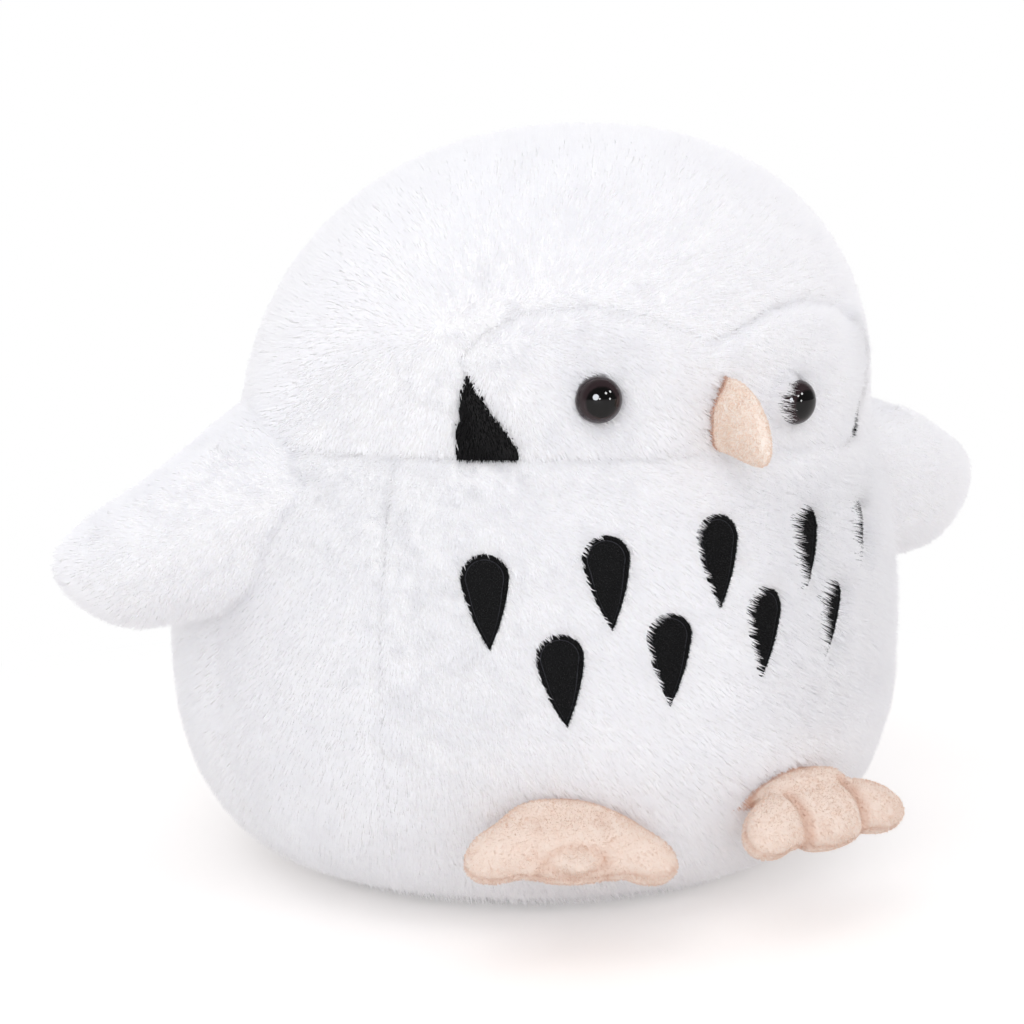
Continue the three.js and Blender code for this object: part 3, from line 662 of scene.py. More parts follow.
# Within this reach of a seam the pile gets shorter, down to this share of its length
seamPile = {
    "neck": (5 * mm, 0.72),
    "brow": (5 * mm, 0.56),
    "sides": (4 * mm, 0.86),
    "back": (4 * mm, 0.8),
    "base": (4 * mm, 0.6),
}


def bodyFlow(places):
    y, z = places.T[1:]
    share = np.clip((z - bodyForm["neck"]) / bodyComb["crownRise"], 0, 1)
    aside = np.clip(-y / bodyComb["frontDepth"], 0, 1)
    flow = np.stack([aside, share, share - 1], axis=1)
    return flow + bodyComb["swirlShare"] * softNoise(places, bodyComb["swirl"], bodyComb["seed"])


def pileLengthShare(places):
    seams = seamDistances(places)
    share = np.ones(len(places))
    for name, (reach, least) in seamPile.items():
        near = np.clip(seams[name] / reach, 0, 1)
        share = np.minimum(share, least + (1 - least) * near)
    return share


def makeBodyPanels():
    allPlaces, allFacing = scatterOn(bodySkin, pileSettings["blackDensity"])
    draw = rng.random(len(allPlaces)) * pileSettings["blackDensity"]
    owner = panelOf(allPlaces)
    for name in rootPanels:
        black = name.startswith("cheek")
        slotName = "black_plush" if black else "white_plush"
        panel = cutPanel(bodySkin, name + "_cloth", panelNames == name, bodyForm["clothThickness"])
        dress(panel, blackBacking if black else whiteBacking, slotName, name,
              *panelExtra.get(name, []))
        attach(panel, "owl")
        kind = "black" if black else name.split("_")[0]
        density = pileSettings.get(kind + "Density", pileSettings["density"])
        chosen = (owner == name) & (draw < density)
        places, facing = allPlaces[chosen], allFacing[chosen]
        bare = coveredByTrim(places)
        if name == "base_panel":
            bare |= places[:, 2] <= pileSettings["baseFrom"]
        places, facing = places[~bare], facing[~bare]
        if not black:
            thick = np.nonzero(fringeOverTrim(places) > pileSettings["thickFringe"])[0]
            thick = np.tile(thick, pileSettings["moreTufts"])
            jitter = np.cross(facing[thick], rng.normal(size=(len(thick), 3)))
            moved = places[thick] + jitter * pileSettings["jitter"]
            places, facing = np.vstack([places, moved]), np.vstack([facing, facing[thick]])
        fringe = fringeOverTrim(places) * (not black)
        length = pileSettings["blackLength" if black else "length"] * pileLengthShare(places)
        upright = pileSettings["upright"] * ramp(fringe, 0, pileSettings["uprightFringe"])
        sparseness = pileSettings["density"] / density
        form = {
            "length": length + extraPile(places) + fringe,
            "lean": pileSettings["lean"] * (1 - upright),
            "mess": pileSettings["mess"],
            "width": pileSettings["width"] * sparseness ** pileSettings["sparser"],
        }
        pileName = name.replace("panel", "pile").replace("patch", "pile")
        makePile(pileName, places, facing, bodyFlow(places), form,
                 blackPile if black else whitePile, rideOwl)


# Breast spots: woven patches with a rim of satin stitch, sewn down to the ground of the plush

spotForm = {
    "rows": 44,  # points round the outline
    "rimWidth": 1.9 * mm,
    "rimHeight": 1.0 * mm,
    "faceHeight": 0.6 * mm,
    "buried": 0.8 * mm,
    # The satin rim's section, from its outer foot: shares of its width and of its height
    "rimSection": [(0, 0.4), (0.12, 0.8), (0.35, 1), (0.65, 1), (0.88, 0.8), (1, 0.6)],
    "rimFoot": 1.7,  # the felt is at its own height this many rim widths in
    "faceSection": [(0.5, 1.1), (1.0, 1.2)],  # shares of the way in and of the felt's height
    "mostIn": 0.45,  # the rim stays within this share of the way to the middle
    "topShare": 1.3,  # the middle lies this many half widths under the top
    "pileGap": 0.3 * mm,  # how far off its outline the pile stops
    "lineFrom": 1.5 * mm,  # no nap grows where the thread of the seam presses it down
    "lineTo": 2.3 * mm,
    "facing": 0.1,  # nap grows where the patch faces outwards at least this much
}
spotNapForm = {"length": 0.9 * mm, "width": 0.4 * mm, "density": 2.4e6, "lean": 0.7, "mess": 0.35}
teardrop = {"arcShare": 0.42, "bulge": 0.8, "bulgeHeight": 0.25}


# A point on half of a teardrop, whose share runs from the tip at the bottom round to the top
def teardropPoint(share, halfWidth, halfLength):
    middle = halfLength - halfWidth
    arcShare = teardrop["arcShare"]
    if share > 1 - arcShare:
        turn = (share - 1 + arcShare) / arcShare * math.pi / 2
        return halfWidth * math.cos(turn), middle + halfWidth * math.sin(turn)
    run = share / (1 - arcShare)
    bendX, bendZ = halfWidth * teardrop["bulge"], -halfLength * teardrop["bulgeHeight"]
    x = 2 * run * (1 - run) * bendX + run * run * halfWidth
    z = (1 - run) ** 2 * -halfLength + 2 * run * (1 - run) * bendZ + run * run * middle
    return x, z


def teardropOutline(halfWidth, halfLength):
    points = []
    for i in range(spotForm["rows"]):
        share = 2 * i / spotForm["rows"]
        x, z = teardropPoint(min(share, 2 - share), halfWidth, halfLength)
        points.append((x if share <= 1 else -x, z))
    return points


# Where a spot's CAD solid lies: its middle, its long axis, the way it faces and its half sizes
def spotFrame(name):
    points = pointsOf(frame["nodes"][name])
    tip, top = points[points[:, 2].argmin()], points[points[:, 2].argmax()]
    middle = (tip + top) / 2
    along = unit((top - tip)[None])[0]
    across = np.cross(along, np.array(skinTree.find_nearest(Vector(middle))[1]))
    across /= np.linalg.norm(across)
    reach = (points - middle) @ across
    return {
        "middle": middle,
        "along": along,
        "across": across,
        "out": np.cross(across, along),
        "halfWidth": (reach.max() - reach.min()) / 2,
        "halfLength": np.linalg.norm(top - tip) / 2,
    }


spotNames = sorted(name for name in frame["nodes"] if name.startswith("breast_spot"))
spotFrames = {name: spotFrame(name) for name in spotNames}
rayStart = 20 * mm  # how far in front of the ground a ray starts to look for it


# A point on the plush's ground, and the way it faces there, under a place in front of it
def onSkin(place, out):
    hit = skinTree.ray_cast(Vector(place + out * rayStart), Vector(-out))
    return np.array(hit[0]), np.array(hit[1])


def makeSpot(name):
    spot = spotFrames[name]
    count = spotForm["rows"]
    outline = teardropOutline(spot["halfWidth"], spot["halfLength"])
    drop = spot["halfWidth"] * spotForm["topShare"]
    centre = np.array((0.0, spot["halfLength"] - drop))
    rim, top, face = (spotForm[key] for key in ("rimWidth", "rimHeight", "faceHeight"))
    # Rows from the middle of the underside, out to the edge, over the rim and in to the middle of
    # the face: how far in from the edge, what share of the way in, and how high
    rows = [(0, 1.0, -spotForm["buried"]), (0, 0.0, -spotForm["buried"])]
    rows += [(rim * inward, 0, top * height) for inward, height in spotForm["rimSection"]]
    rows += [(rim * spotForm["rimFoot"], 0, face)]
    rows += [(0, share, face * rise) for share, rise in spotForm["faceSection"]]
    bm = bmesh.new()
    bm.loops.layers.uv.new("stitches")
    bmesh.ops.create_grid(bm, x_segments=count, y_segments=len(rows) - 1, size=0.5, calc_uvs=True)
    for vert in bm.verts:
        column = round((vert.co.x + 0.5) * count) % count
        inward, share, height = rows[round((vert.co.y + 0.5) * (len(rows) - 1))]
        edge = np.array(outline[column])
        share += min(inward / np.linalg.norm(centre - edge), spotForm["mostIn"])
        flat = edge + (centre - edge) * share
        place = spot["middle"] + spot["across"] * flat[0] + spot["along"] * flat[1]
        ground, facing = onSkin(place, spot["out"])
        vert.co = Vector(ground + facing * height)
    bmesh.ops.remove_doubles(bm, verts=bm.verts, dist=2 * weld)
    bmesh.ops.recalc_face_normals(bm, faces=bm.faces)
    patch = newObject(name + "_patch", bm)
    dress(patch, spotCloth, "black_embroidered_patch", name)
    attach(patch, "owl")
    places, facing = scatterOn(patch, spotNapForm["density"])
    off = places - spot["middle"]
    across, along = off @ spot["across"], off @ spot["along"]
    inside = insideOutline(across, along, outline)
    inward = np.where(inside, distanceToLine(across, along, outline, True), 0)
    onLine = (inward >= spotForm["lineFrom"]) & (inward <= spotForm["lineTo"])
    free = (facing @ spot["out"] > spotForm["facing"]) & ~onLine
    places, facing = places[free], facing[free]
    makePile(name + "_nap", places, facing, bodyFlow(places), spotNapForm, spotNap,
             rideOwl)


# Where the rim ends and where the line of thread runs, as shares of the way over a patch's rows
stitching = {"rim": (0.72, 0.76), "line": 0.735, "lineHalfWidth": 0.018}


# Black polyester felt with a rim of satin stitch and one line of grey thread inside it
def spotMaterial():
    material, tree, place = newMaterial("polyester felt and satin stitch, black")
    parts = addNode(tree, "ShaderNodeSeparateXYZ", {"Vector": place.outputs["UV"]})
    outlineLength, threadPitch = 92 * mm, 0.8 * mm  # real thread is 0.4 mm, too fine to show
    threads = addNode(tree, "ShaderNodeMath", {
        0: parts.outputs["X"], 1: 2 * math.pi * outlineLength / threadPitch}, operation="MULTIPLY")
    ridges = addNode(tree, "ShaderNodeMath", {0: threads.outputs[0]}, operation="SINE")
    twillPitch = 6.3 * mm  # the wave's diagonal bands then lie 2.3 mm apart, as coarse as they show
    twill = addNode(tree, "ShaderNodeTexWave", {
        "Vector": place.outputs["Object"], "Scale": 1 / twillPitch, "Distortion": 1.5,
        "Detail": 2.0, "Detail Scale": 6.0}, bands_direction="DIAGONAL")
    onRim = addNode(tree, "ShaderNodeMapRange", {
        "Value": parts.outputs["Y"], "From Min": stitching["rim"][0],
        "From Max": stitching["rim"][1], "To Min": 1.0, "To Max": 0.0})
    height = addNode(tree, "ShaderNodeMix", {
        0: onRim.outputs[0], 2: twill.outputs["Fac"], 3: ridges.outputs[0]}, data_type="FLOAT")
    bump = addNode(tree, "ShaderNodeBump", {
        "Height": height.outputs[0], "Strength": 0.6, "Distance": 0.35 * mm})
    lint = addNode(tree, "ShaderNodeTexNoise", {
        "Vector": place.outputs["Object"], "Scale": 1 / (0.8 * mm), "Detail": 2.0})
    share = addNode(tree, "ShaderNodeMapRange", {
        "Value": lint.outputs["Fac"], "From Min": 0.45, "From Max": 0.8})
    cloth = addNode(tree, "ShaderNodeMix", {
        0: share.outputs[0], 6: toLinear("#070707"), 7: toLinear("#151517")}, data_type="RGBA")
    onLine = addNode(tree, "ShaderNodeMath", {
        0: parts.outputs["Y"], 1: stitching["line"], 2: stitching["lineHalfWidth"]},
        operation="COMPARE")
    colour = addNode(tree, "ShaderNodeMix", {
        0: onLine.outputs[0], 6: cloth.outputs[2], 7: toLinear("#323237")}, data_type="RGBA")
    shader = addNode(tree, "ShaderNodeBsdfPrincipled", {
        "Base Color": colour.outputs[2], "Roughness": 0.8, "Specular IOR Level": 0.12,
        "Normal": bump.outputs[0]})
    return finishMaterial(material, shader)


spotCloth = spotMaterial()
spotNap = plushMaterial("polyester felt nap, black", "#040404", "#171719", 1.5 * mm)


# Eyes: a domed plastic eye on a lock washer

eyeForm = {
    "radius": 10 * mm,
    "dome": 7.6 * mm,
    "rim": 0.9 * mm,
    "sunk": 6.2 * mm,  # how far its back lies behind the CAD surface, on the ground of the plush
    "back": 0.9,  # the back's radius and its bevel, as shares of the radius and of the depth
    "bevel": 0.7,
    "domeSteps": 16,
    "steps": 56,
    "pupil": 6.6 * mm,
    "pileGap": 0.4 * mm,
    "near": 30 * mm,
    "fringe": {"right": 2.0 * mm, "left": 6.5 * mm},  # how much longer the pile is at its edge
    "fringeReach": 3.5 * mm,
}


# The middle of an eye's back and the way it looks, from its CAD node and its washer's
def eyeFrame(side):
    points = pointsOf(frame["nodes"][f"eye_{side}"])
    washer = pointsOf(frame["nodes"][f"eye_washer_{side}"]).mean(axis=0)
    axis = unit((points.mean(axis=0) - washer)[None])[0]
    front = ((points - washer) @ axis).max()
    back = washer + axis * (front - eyeForm["dome"] - eyeForm["rim"])
    return back, axis


eyeFrames = {side: eyeFrame(side) for side in sides}


def makeEye(side):
    back, axis = eyeFrames[side]
    radius, rim, dome, sunk, steps = (
        eyeForm[key] for key in ("radius", "rim", "dome", "sunk", "domeSteps"))
    profile = [(0, -sunk), (radius * eyeForm["back"], -sunk), (radius, -sunk * eyeForm["bevel"]),
               (radius, rim)]
    for i in range(1, steps + 1):
        turn = i / steps * math.pi / 2
        profile.append((radius * math.cos(turn), rim + dome * math.sin(turn)))
    bm = bmesh.new()
    verts = [bm.verts.new((x, 0, z)) for x, z in profile]
    edges = [bm.edges.new(pair) for pair in zip(verts, verts[1:])]
    bmesh.ops.spin(bm, geom=verts + edges, cent=(0, 0, 0), axis=(0, 0, 1), angle=2 * math.pi,
                   steps=eyeForm["steps"], use_merge=True)
    bmesh.ops.remove_doubles(bm, verts=bm.verts, dist=weld)
    bmesh.ops.recalc_face_normals(bm, faces=bm.faces)
    uv = bm.loops.layers.uv.new("eye")
    for face in bm.faces:
        for loop in face.loops:
            loop[uv].uv = (loop.vert.co.x / radius, loop.vert.co.y / radius)
    turned = Vector(axis).to_track_quat("Z", "Y").to_matrix().to_4x4()
    bmesh.ops.transform(bm, matrix=Matrix.Translation(Vector(back)) @ turned, verts=bm.verts)
    eye = newObject(f"eye_{side}_dome", bm)
    dress(eye, eyePlastic, "eye_plastic", f"eye_{side}")
    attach(eye, "owl")


# Dark brown plastic with a black pupil under a clear, polished dome. The lighter brown-violet ring
# round the pupil is partly the plastic's brown and partly a painted reflection of the white room
# at the dome's edge
def eyeMaterial():
    material, tree, place = newMaterial("acrylic, brown, polished")
    away = addNode(tree, "ShaderNodeVectorMath", {0: place.outputs["UV"]}, operation="LENGTH")
    pupil = eyeForm["pupil"] / eyeForm["radius"]
    edge = addNode(tree, "ShaderNodeMapRange", {
        "Value": away.outputs["Value"], "From Min": pupil - 0.05, "From Max": pupil + 0.05})
    # The ring round the pupil: partly the plastic's own brown, partly painted reflection of the
    # white surroundings
    streaks = addNode(tree, "ShaderNodeTexNoise", {
        "Vector": place.outputs["Object"], "Scale": 1 / (2.5 * mm), "Detail": 3.0})
    brown = addNode(tree, "ShaderNodeMix", {
        0: streaks.outputs["Fac"], 6: toLinear("#35292C"), 7: toLinear("#261B1D")},
        data_type="RGBA")
    colour = addNode(tree, "ShaderNodeMix", {
        0: edge.outputs[0], 6: toLinear("#040303"), 7: brown.outputs[2]}, data_type="RGBA")
    shader = addNode(tree, "ShaderNodeBsdfPrincipled", {
        "Base Color": colour.outputs[2], "Roughness": 0.05, "IOR": 1.49, "Specular IOR Level": 0.4})
    return finishMaterial(material, shader)


eyePlastic = eyeMaterial()


# Moulded nylon, milky white and satin, with the faint flow marks of its mould
def nylonMaterial():
    material, tree, place = newMaterial("nylon, white, moulded")
    marks = addNode(tree, "ShaderNodeTexNoise", {
        "Vector": place.outputs["Object"], "Scale": 1 / (3 * mm), "Detail": 2.0})
    colour = addNode(tree, "ShaderNodeMix", {
        0: marks.outputs["Fac"], 6: toLinear("#F1EFEA"), 7: toLinear("#E6E3DC")}, data_type="RGBA")
    shader = addNode(tree, "ShaderNodeBsdfPrincipled", {
        "Base Color": colour.outputs[2], "Roughness": 0.4, "IOR": 1.53})
    return finishMaterial(material, shader)


washerNylon = nylonMaterial()
for word in sides:
    washer = frame["nodes"][f"eye_washer_{word}"]
    washer.data.materials.clear()
    washer.data.materials.append(washerNylon)


# Beak, and what else lies on the plush and lets no pile through: the spots and the eyes

beakForm = {
    "voxel": 1.3 * mm,
    "smoothing": 3,
    "rootFrom": 4 * mm,  # what lies less far forward than this is its root
    "rootDepth": 4 * mm,
    "rightShare": 0.5,  # the beak is sewn down askew, so its root is slimmer on the toy's right
    "topShare": 0.35,  # and its upper end runs out narrow
    "topHeight": 0.5,
    "rootAside": 2.8 * mm,
    "topAside": 2.2 * mm,
    "droop": 2.2 * mm,
    "droopHeight": 0.7,
    "fringe": 3 * mm,
    "fringeReach": 3 * mm,
    "pileGap": 1.2 * mm,
    # Pile is looked at from one x to another and up to so far above the beak
    "fringeRoom": (-20 * mm, 0, 2 * mm),
    "coverRoom": (-9 * mm, 9 * mm, 3 * mm),
}
beakNap = {"length": 1.0 * mm, "width": 0.45 * mm, "density": 2.6e6, "lean": 0.6, "mess": 0.4,
           "flow": (0, -1.0, -0.6)}
beakTree = treeOf(frame["nodes"]["beak_fill"])
patchFringe = {"length": 5 * mm, "reach": 6 * mm, "from": 40 * mm, "edge": 5}
spotReach = 1.2  # no place further off than this many half lengths is on a spot


# How places lie about an eye: the way off its axis, how far that is, and whether they are near
def aboutEye(places, side):
    back, axis = eyeFrames[side]
    off = places - back
    sideways = off - (off @ axis)[:, None] * axis
    near = np.linalg.norm(off, axis=1) < eyeForm["near"]
    return sideways, np.linalg.norm(sideways, axis=1), near


# The places in front, from one x to another and up to so far above the beak, and their gaps to it
def gapsToBeak(places, left, right, above):
    x, y, z = places.T
    low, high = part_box("beak_fill")
    near = (x > left) & (x < right) & (y < 0) & (z > low.z) & (z < high.z + above)
    near = np.nonzero(near)[0]
    return near, np.array([beakTree.find_nearest(Vector(places[i]))[3] for i in near])


# Pile on the toy's right of an eye, of the beak or of the left cheek patch is combed over it, so
# it is longer there
def fringeOverTrim(places):
    x, y, z = places.T
    onPatch = (x > patchFringe["from"]) & (y < 0) & (z > bodyForm["neck"])
    off = distanceToLine(x, z, faceOutline()[-patchFringe["edge"]:], False)
    fringe = patchFringe["length"] * np.exp(-(off / patchFringe["reach"]) ** 2)
    extra = np.where(onPatch, fringe, 0)
    for side in sides:
        sideways, away, near = aboutEye(places, side)
        gap = np.maximum(away - eyeForm["radius"], 0) / eyeForm["fringeReach"]
        onRight = np.clip(-sideways[:, 0] / np.maximum(away, 1 * mm), 0, 1)
        extra = np.maximum(extra, eyeForm["fringe"][side] * np.exp(-gap ** 2) * onRight * near)
    near, gaps = gapsToBeak(places, *beakForm["fringeRoom"])
    fringe = beakForm["fringe"] * np.exp(-(gaps / beakForm["fringeReach"]) ** 2)
    extra[near] = np.maximum(extra[near], fringe)
    return extra


def coveredByTrim(places):
    covered = np.zeros(len(places), bool)
    for spot in spotFrames.values():
        off = places - spot["middle"]
        near = np.linalg.norm(off, axis=1) < spot["halfLength"] * spotReach
        outline = teardropOutline(spot["halfWidth"] + spotForm["pileGap"],
                                  spot["halfLength"] + spotForm["pileGap"] * 2)
        covered |= near & insideOutline(off @ spot["across"], off @ spot["along"], outline)
    for side in sides:
        away, near = aboutEye(places, side)[1:]
        covered |= near & (away < eyeForm["radius"] - eyeForm["pileGap"])
    near, gaps = gapsToBeak(places, *beakForm["coverRoom"])
    covered[near] |= gaps < beakForm["pileGap"]
    return covered


makeBodyPanels()
for spotName in spotNames:
    makeSpot(spotName)
for word in sides:
    makeEye(word)
print("body, spots and eyes made")


def convexPiece(bm, points):
    verts = [bm.verts.new(point) for point in points]
    made = bmesh.ops.convex_hull(bm, input=verts, use_existing_faces=False)
    loose = {item for item in made["geom_interior"] + made["geom_unused"]
             if isinstance(item, bmesh.types.BMVert)}
    bmesh.ops.delete(bm, geom=list(loose), context="VERTS")


# The velour looks darker this far off the ground, where it leaves the pile
velourEdge = {"from": 4.2 * mm, "to": 5.6 * mm, "share": 0.6}


def foldNearSkin(points):
    off = np.array([skinTree.find_nearest(Vector(point))[3] for point in points])
    return velourEdge["share"] * ramp(off, velourEdge["to"], velourEdge["from"])


def makeBeak():
    bm = weldedNodes(["beak_cover", "beak_fill"])
    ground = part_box("beak_fill")[1].y
    root = [v.co.copy() for v in bm.verts if v.co.y > ground - beakForm["rootFrom"]]
    convexPiece(bm, root + [point + Vector((0, beakForm["rootDepth"], 0)) for point in root])
    beak = voxelSkin("beak_cloth", bm, beakForm["voxel"], beakForm["smoothing"])
    points = pointsOf(beak)
    tip, back = points[:, 1].min(), points[:, 1].max()
    low, high = points[:, 2].min(), points[:, 2].max()
    tall = high - low
    forward = np.clip((back - points[:, 1]) / (back - tip), 0, 1)
    onRight = beakForm["rightShare"] + (1 - beakForm["rightShare"]) * forward
    points[:, 0] *= np.where(points[:, 0] < 0, onRight, 1)
    below = ramp(points[:, 2], high, high - tall * beakForm["topHeight"])
    points[:, 0] *= beakForm["topShare"] + (1 - beakForm["topShare"]) * below
    points[:, 0] += beakForm["rootAside"] * (1 - forward) + beakForm["topAside"] * (1 - below)
    drooping = ramp(points[:, 2], low + tall * beakForm["droopHeight"], low)
    points[:, 2] -= beakForm["droop"] * drooping
    movePoints(beak, points)
    setAttribute(beak, "fold", "FLOAT", foldNearSkin(points))
    # The beak wears the lighter copy of the peach velboa: painted light
    dress(beak, litPeachVelour, "peach_velour", "beak_cover", "beak_fill")
    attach(beak, "owl")
    places, facing = scatterOn(beak, beakNap["density"])
    flow = np.tile(beakNap["flow"], (len(places), 1))
    makePile("beak_nap", places, facing, flow, beakNap, litPeachVelour, rideOwl,
             foldNearSkin(places))


makeBeak()
print("beak made")


# Wings

wingForm = {
    "voxel": 3 * mm,
    "smoothing": 8,
    "skinDepth": 3.4 * mm,
    "rootFrom": 8 * mm,  # off the hinge: this part of the wing runs out onto the body
    "rootTo": 26 * mm,
    "webDepth": 1 * mm,
    # Where its front runs out: degrees from the front, and height in millimetres
    "creasePlaces": [(88, 238), (78, 232), (70, 224), (64, 214), (61, 204), (63, 196), (67, 187),
                     (69, 178), (70, 154), (77, 138)],
    "backPlaces": [(97, 238), (97, 222), (97, 202), (97, 178), (97, 152)],
    "edge": 0.25,  # its cloth is pinned where it faces less to the front or the back than this
    "hidden": 1.5 * mm,  # no pile grows on what lies deeper than this in the body
    "rootPile": 0.72,  # its pile's length at the root, which grows to all of it this far out
    "fullPile": 60 * mm,
    "blendIn": 14 * mm,
    "blendOut": 22 * mm,
}
wingPile = {"length": 5.2 * mm, "width": 0.66 * mm, "density": 1.1e6, "lean": 0.8, "mess": 0.14,
            "flow": (1.0, 0.15, -0.35)}
wingPuff = {"pressure": 6.0, "frames": 10, "quality": 4, "mass": 0.3, "stiffness": 10,
            "cap": 2.5 * mm}


bodyRay = 0.4  # a ray that looks for the body starts this far from its middle line


# Places on the plush's ground, at azimuths in degrees and heights in millimetres, a depth inside
def bodyPlaces(places, depth):
    made = []
    for azimuth, height in places:
        out = direction(math.radians(azimuth))
        hit = skinTree.ray_cast(out * bodyRay + Vector((0, 0, height * mm)), -out)
        made.append(hit[0] - hit[1] * depth)
    return made


def jointOf(body):
    return next(joint for joint in frame["joints"] if joint["child"] == body)


def makeWing(word, side):
    nodes = [f"wing_front_{word}", f"wing_rear_{word}", f"wing_fill_{word}"]
    bm = weldedNodes(nodes)
    hinge = Vector(jointOf(f"wing_{word}")["pos_m"])
    reach = [v.co.copy() for v in bm.verts
             if wingForm["rootFrom"] < side * (v.co.x - hinge.x) < wingForm["rootTo"]]
    web = [(side * azimuth, height)
           for azimuth, height in wingForm["creasePlaces"] + wingForm["backPlaces"]]
    convexPiece(bm, reach + bodyPlaces(web, wingForm["webDepth"]))
    skin = voxelSkin(f"wing_{word}_cloth", bm, wingForm["voxel"], wingForm["smoothing"])
    movePoints(skin, pointsOf(skin) - normalsOf(skin) * wingForm["skinDepth"])
    edge = np.abs(normalsOf(skin)[:, 1]) < wingForm["edge"]
    puffUp(skin, edge | (side * pointsOf(skin)[:, 0] < side * hinge.x), wingPuff)

    def blendWing(obj):
        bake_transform(obj)

    outside = []
    for centre in map(Vector, faceCentres(skin)):
        place, facing = skinTree.find_nearest(centre)[:2]
        outside.append((centre - place).dot(facing) > -wingForm["hidden"])
    places, facing = scatterOn(skin, wingPile["density"], np.array(outside))
    flow = np.tile(np.array(wingPile["flow"]) * (side, 1, 1), (len(places), 1))
    out = np.clip(side * (places[:, 0] - hinge.x) / wingForm["fullPile"], 0, 1)
    share = wingForm["rootPile"] + (1 - wingForm["rootPile"]) * out
    dress(skin, whiteBacking, "white_plush", *nodes)
    makePile(f"wing_{word}_pile", places, facing, flow,
             {**wingPile, "length": wingPile["length"] * share},
             whitePile, blendWing)
    blendWing(skin)


for word, side in sides.items():
    makeWing(word, side)
print("wings made")


# Feet

footForm = {
    "voxel": 2 * mm,
    "smoothing": {"right": 14, "left": 7},
    # Where the foot runs out onto the belly: degrees from the front, and height in millimetres
    "archPlaces": {
        "right": [(-35, 48), (-30, 60), (-21, 68), (-12, 60), (-7, 44)],
        "left": [(5, 52), (9, 63), (16, 71), (25, 64), (31, 54)],
    },
    "archDepth": 1 * mm,
    "rootReach": {"right": 20 * mm, "left": 8 * mm},
    "pinned": 2 * mm,  # its cloth is pinned up to here, out from the hinge line
    "sag": {"right": 4.5 * mm, "left": 0},  # how far the outer end away from the wing hangs down
    "sagReach": 40 * mm,
    "slope": math.radians(42),
    "seamDepth": 0.9 * mm,
    "seamHalfWidth": 1.2 * mm,
    # Folds between the toes: how deep, and how far aside in millimetres
    "folds": {"right": (0.9 * mm, (-15, 14)), "left": (2.6 * mm, (-17, 17))},
    "foldHalfWidth": 2.6 * mm,
    "foldReach": 9 * mm,
    "foldsFrom": (3 * mm, 10 * mm),  # out from the hinge line, folds and seam start there
    "foldShade": 3.4 * mm,  # the shade in a fold is its depth's share of this, up to the most
    "mostShade": 0.4,
    "toeDrop": 11.4 * mm,  # the middle toe, below the hinge line
    "toeRadius": 5.0 * mm,
    "toeTop": 0.35,  # the share of its radius that is at its full rise
    "toeFrom": (8 * mm, 14 * mm),
    "toeShare": 0.52,  # its height as a share of its width
    "toeRise": {"right": 5 * mm, "left": 0},
    "ringShare": 0.18,  # how deep the fold round it is, of its rise
    "ringPlace": 1.25,  # in shares of its radius: where that fold is, and its half width
    "ringHalfWidth": 0.25,
    "blendIn": 4 * mm,
    "blendOut": 10 * mm,
}
footNap = {"length": 1.0 * mm, "width": 0.45 * mm, "density": 1.25e6, "lean": 0.6, "mess": 0.45,
           "hang": -0.8}
footPuff = {"pressure": 8.0, "frames": 8, "quality": 4, "mass": 0.3, "stiffness": 14,
            "cap": 1.5 * mm}


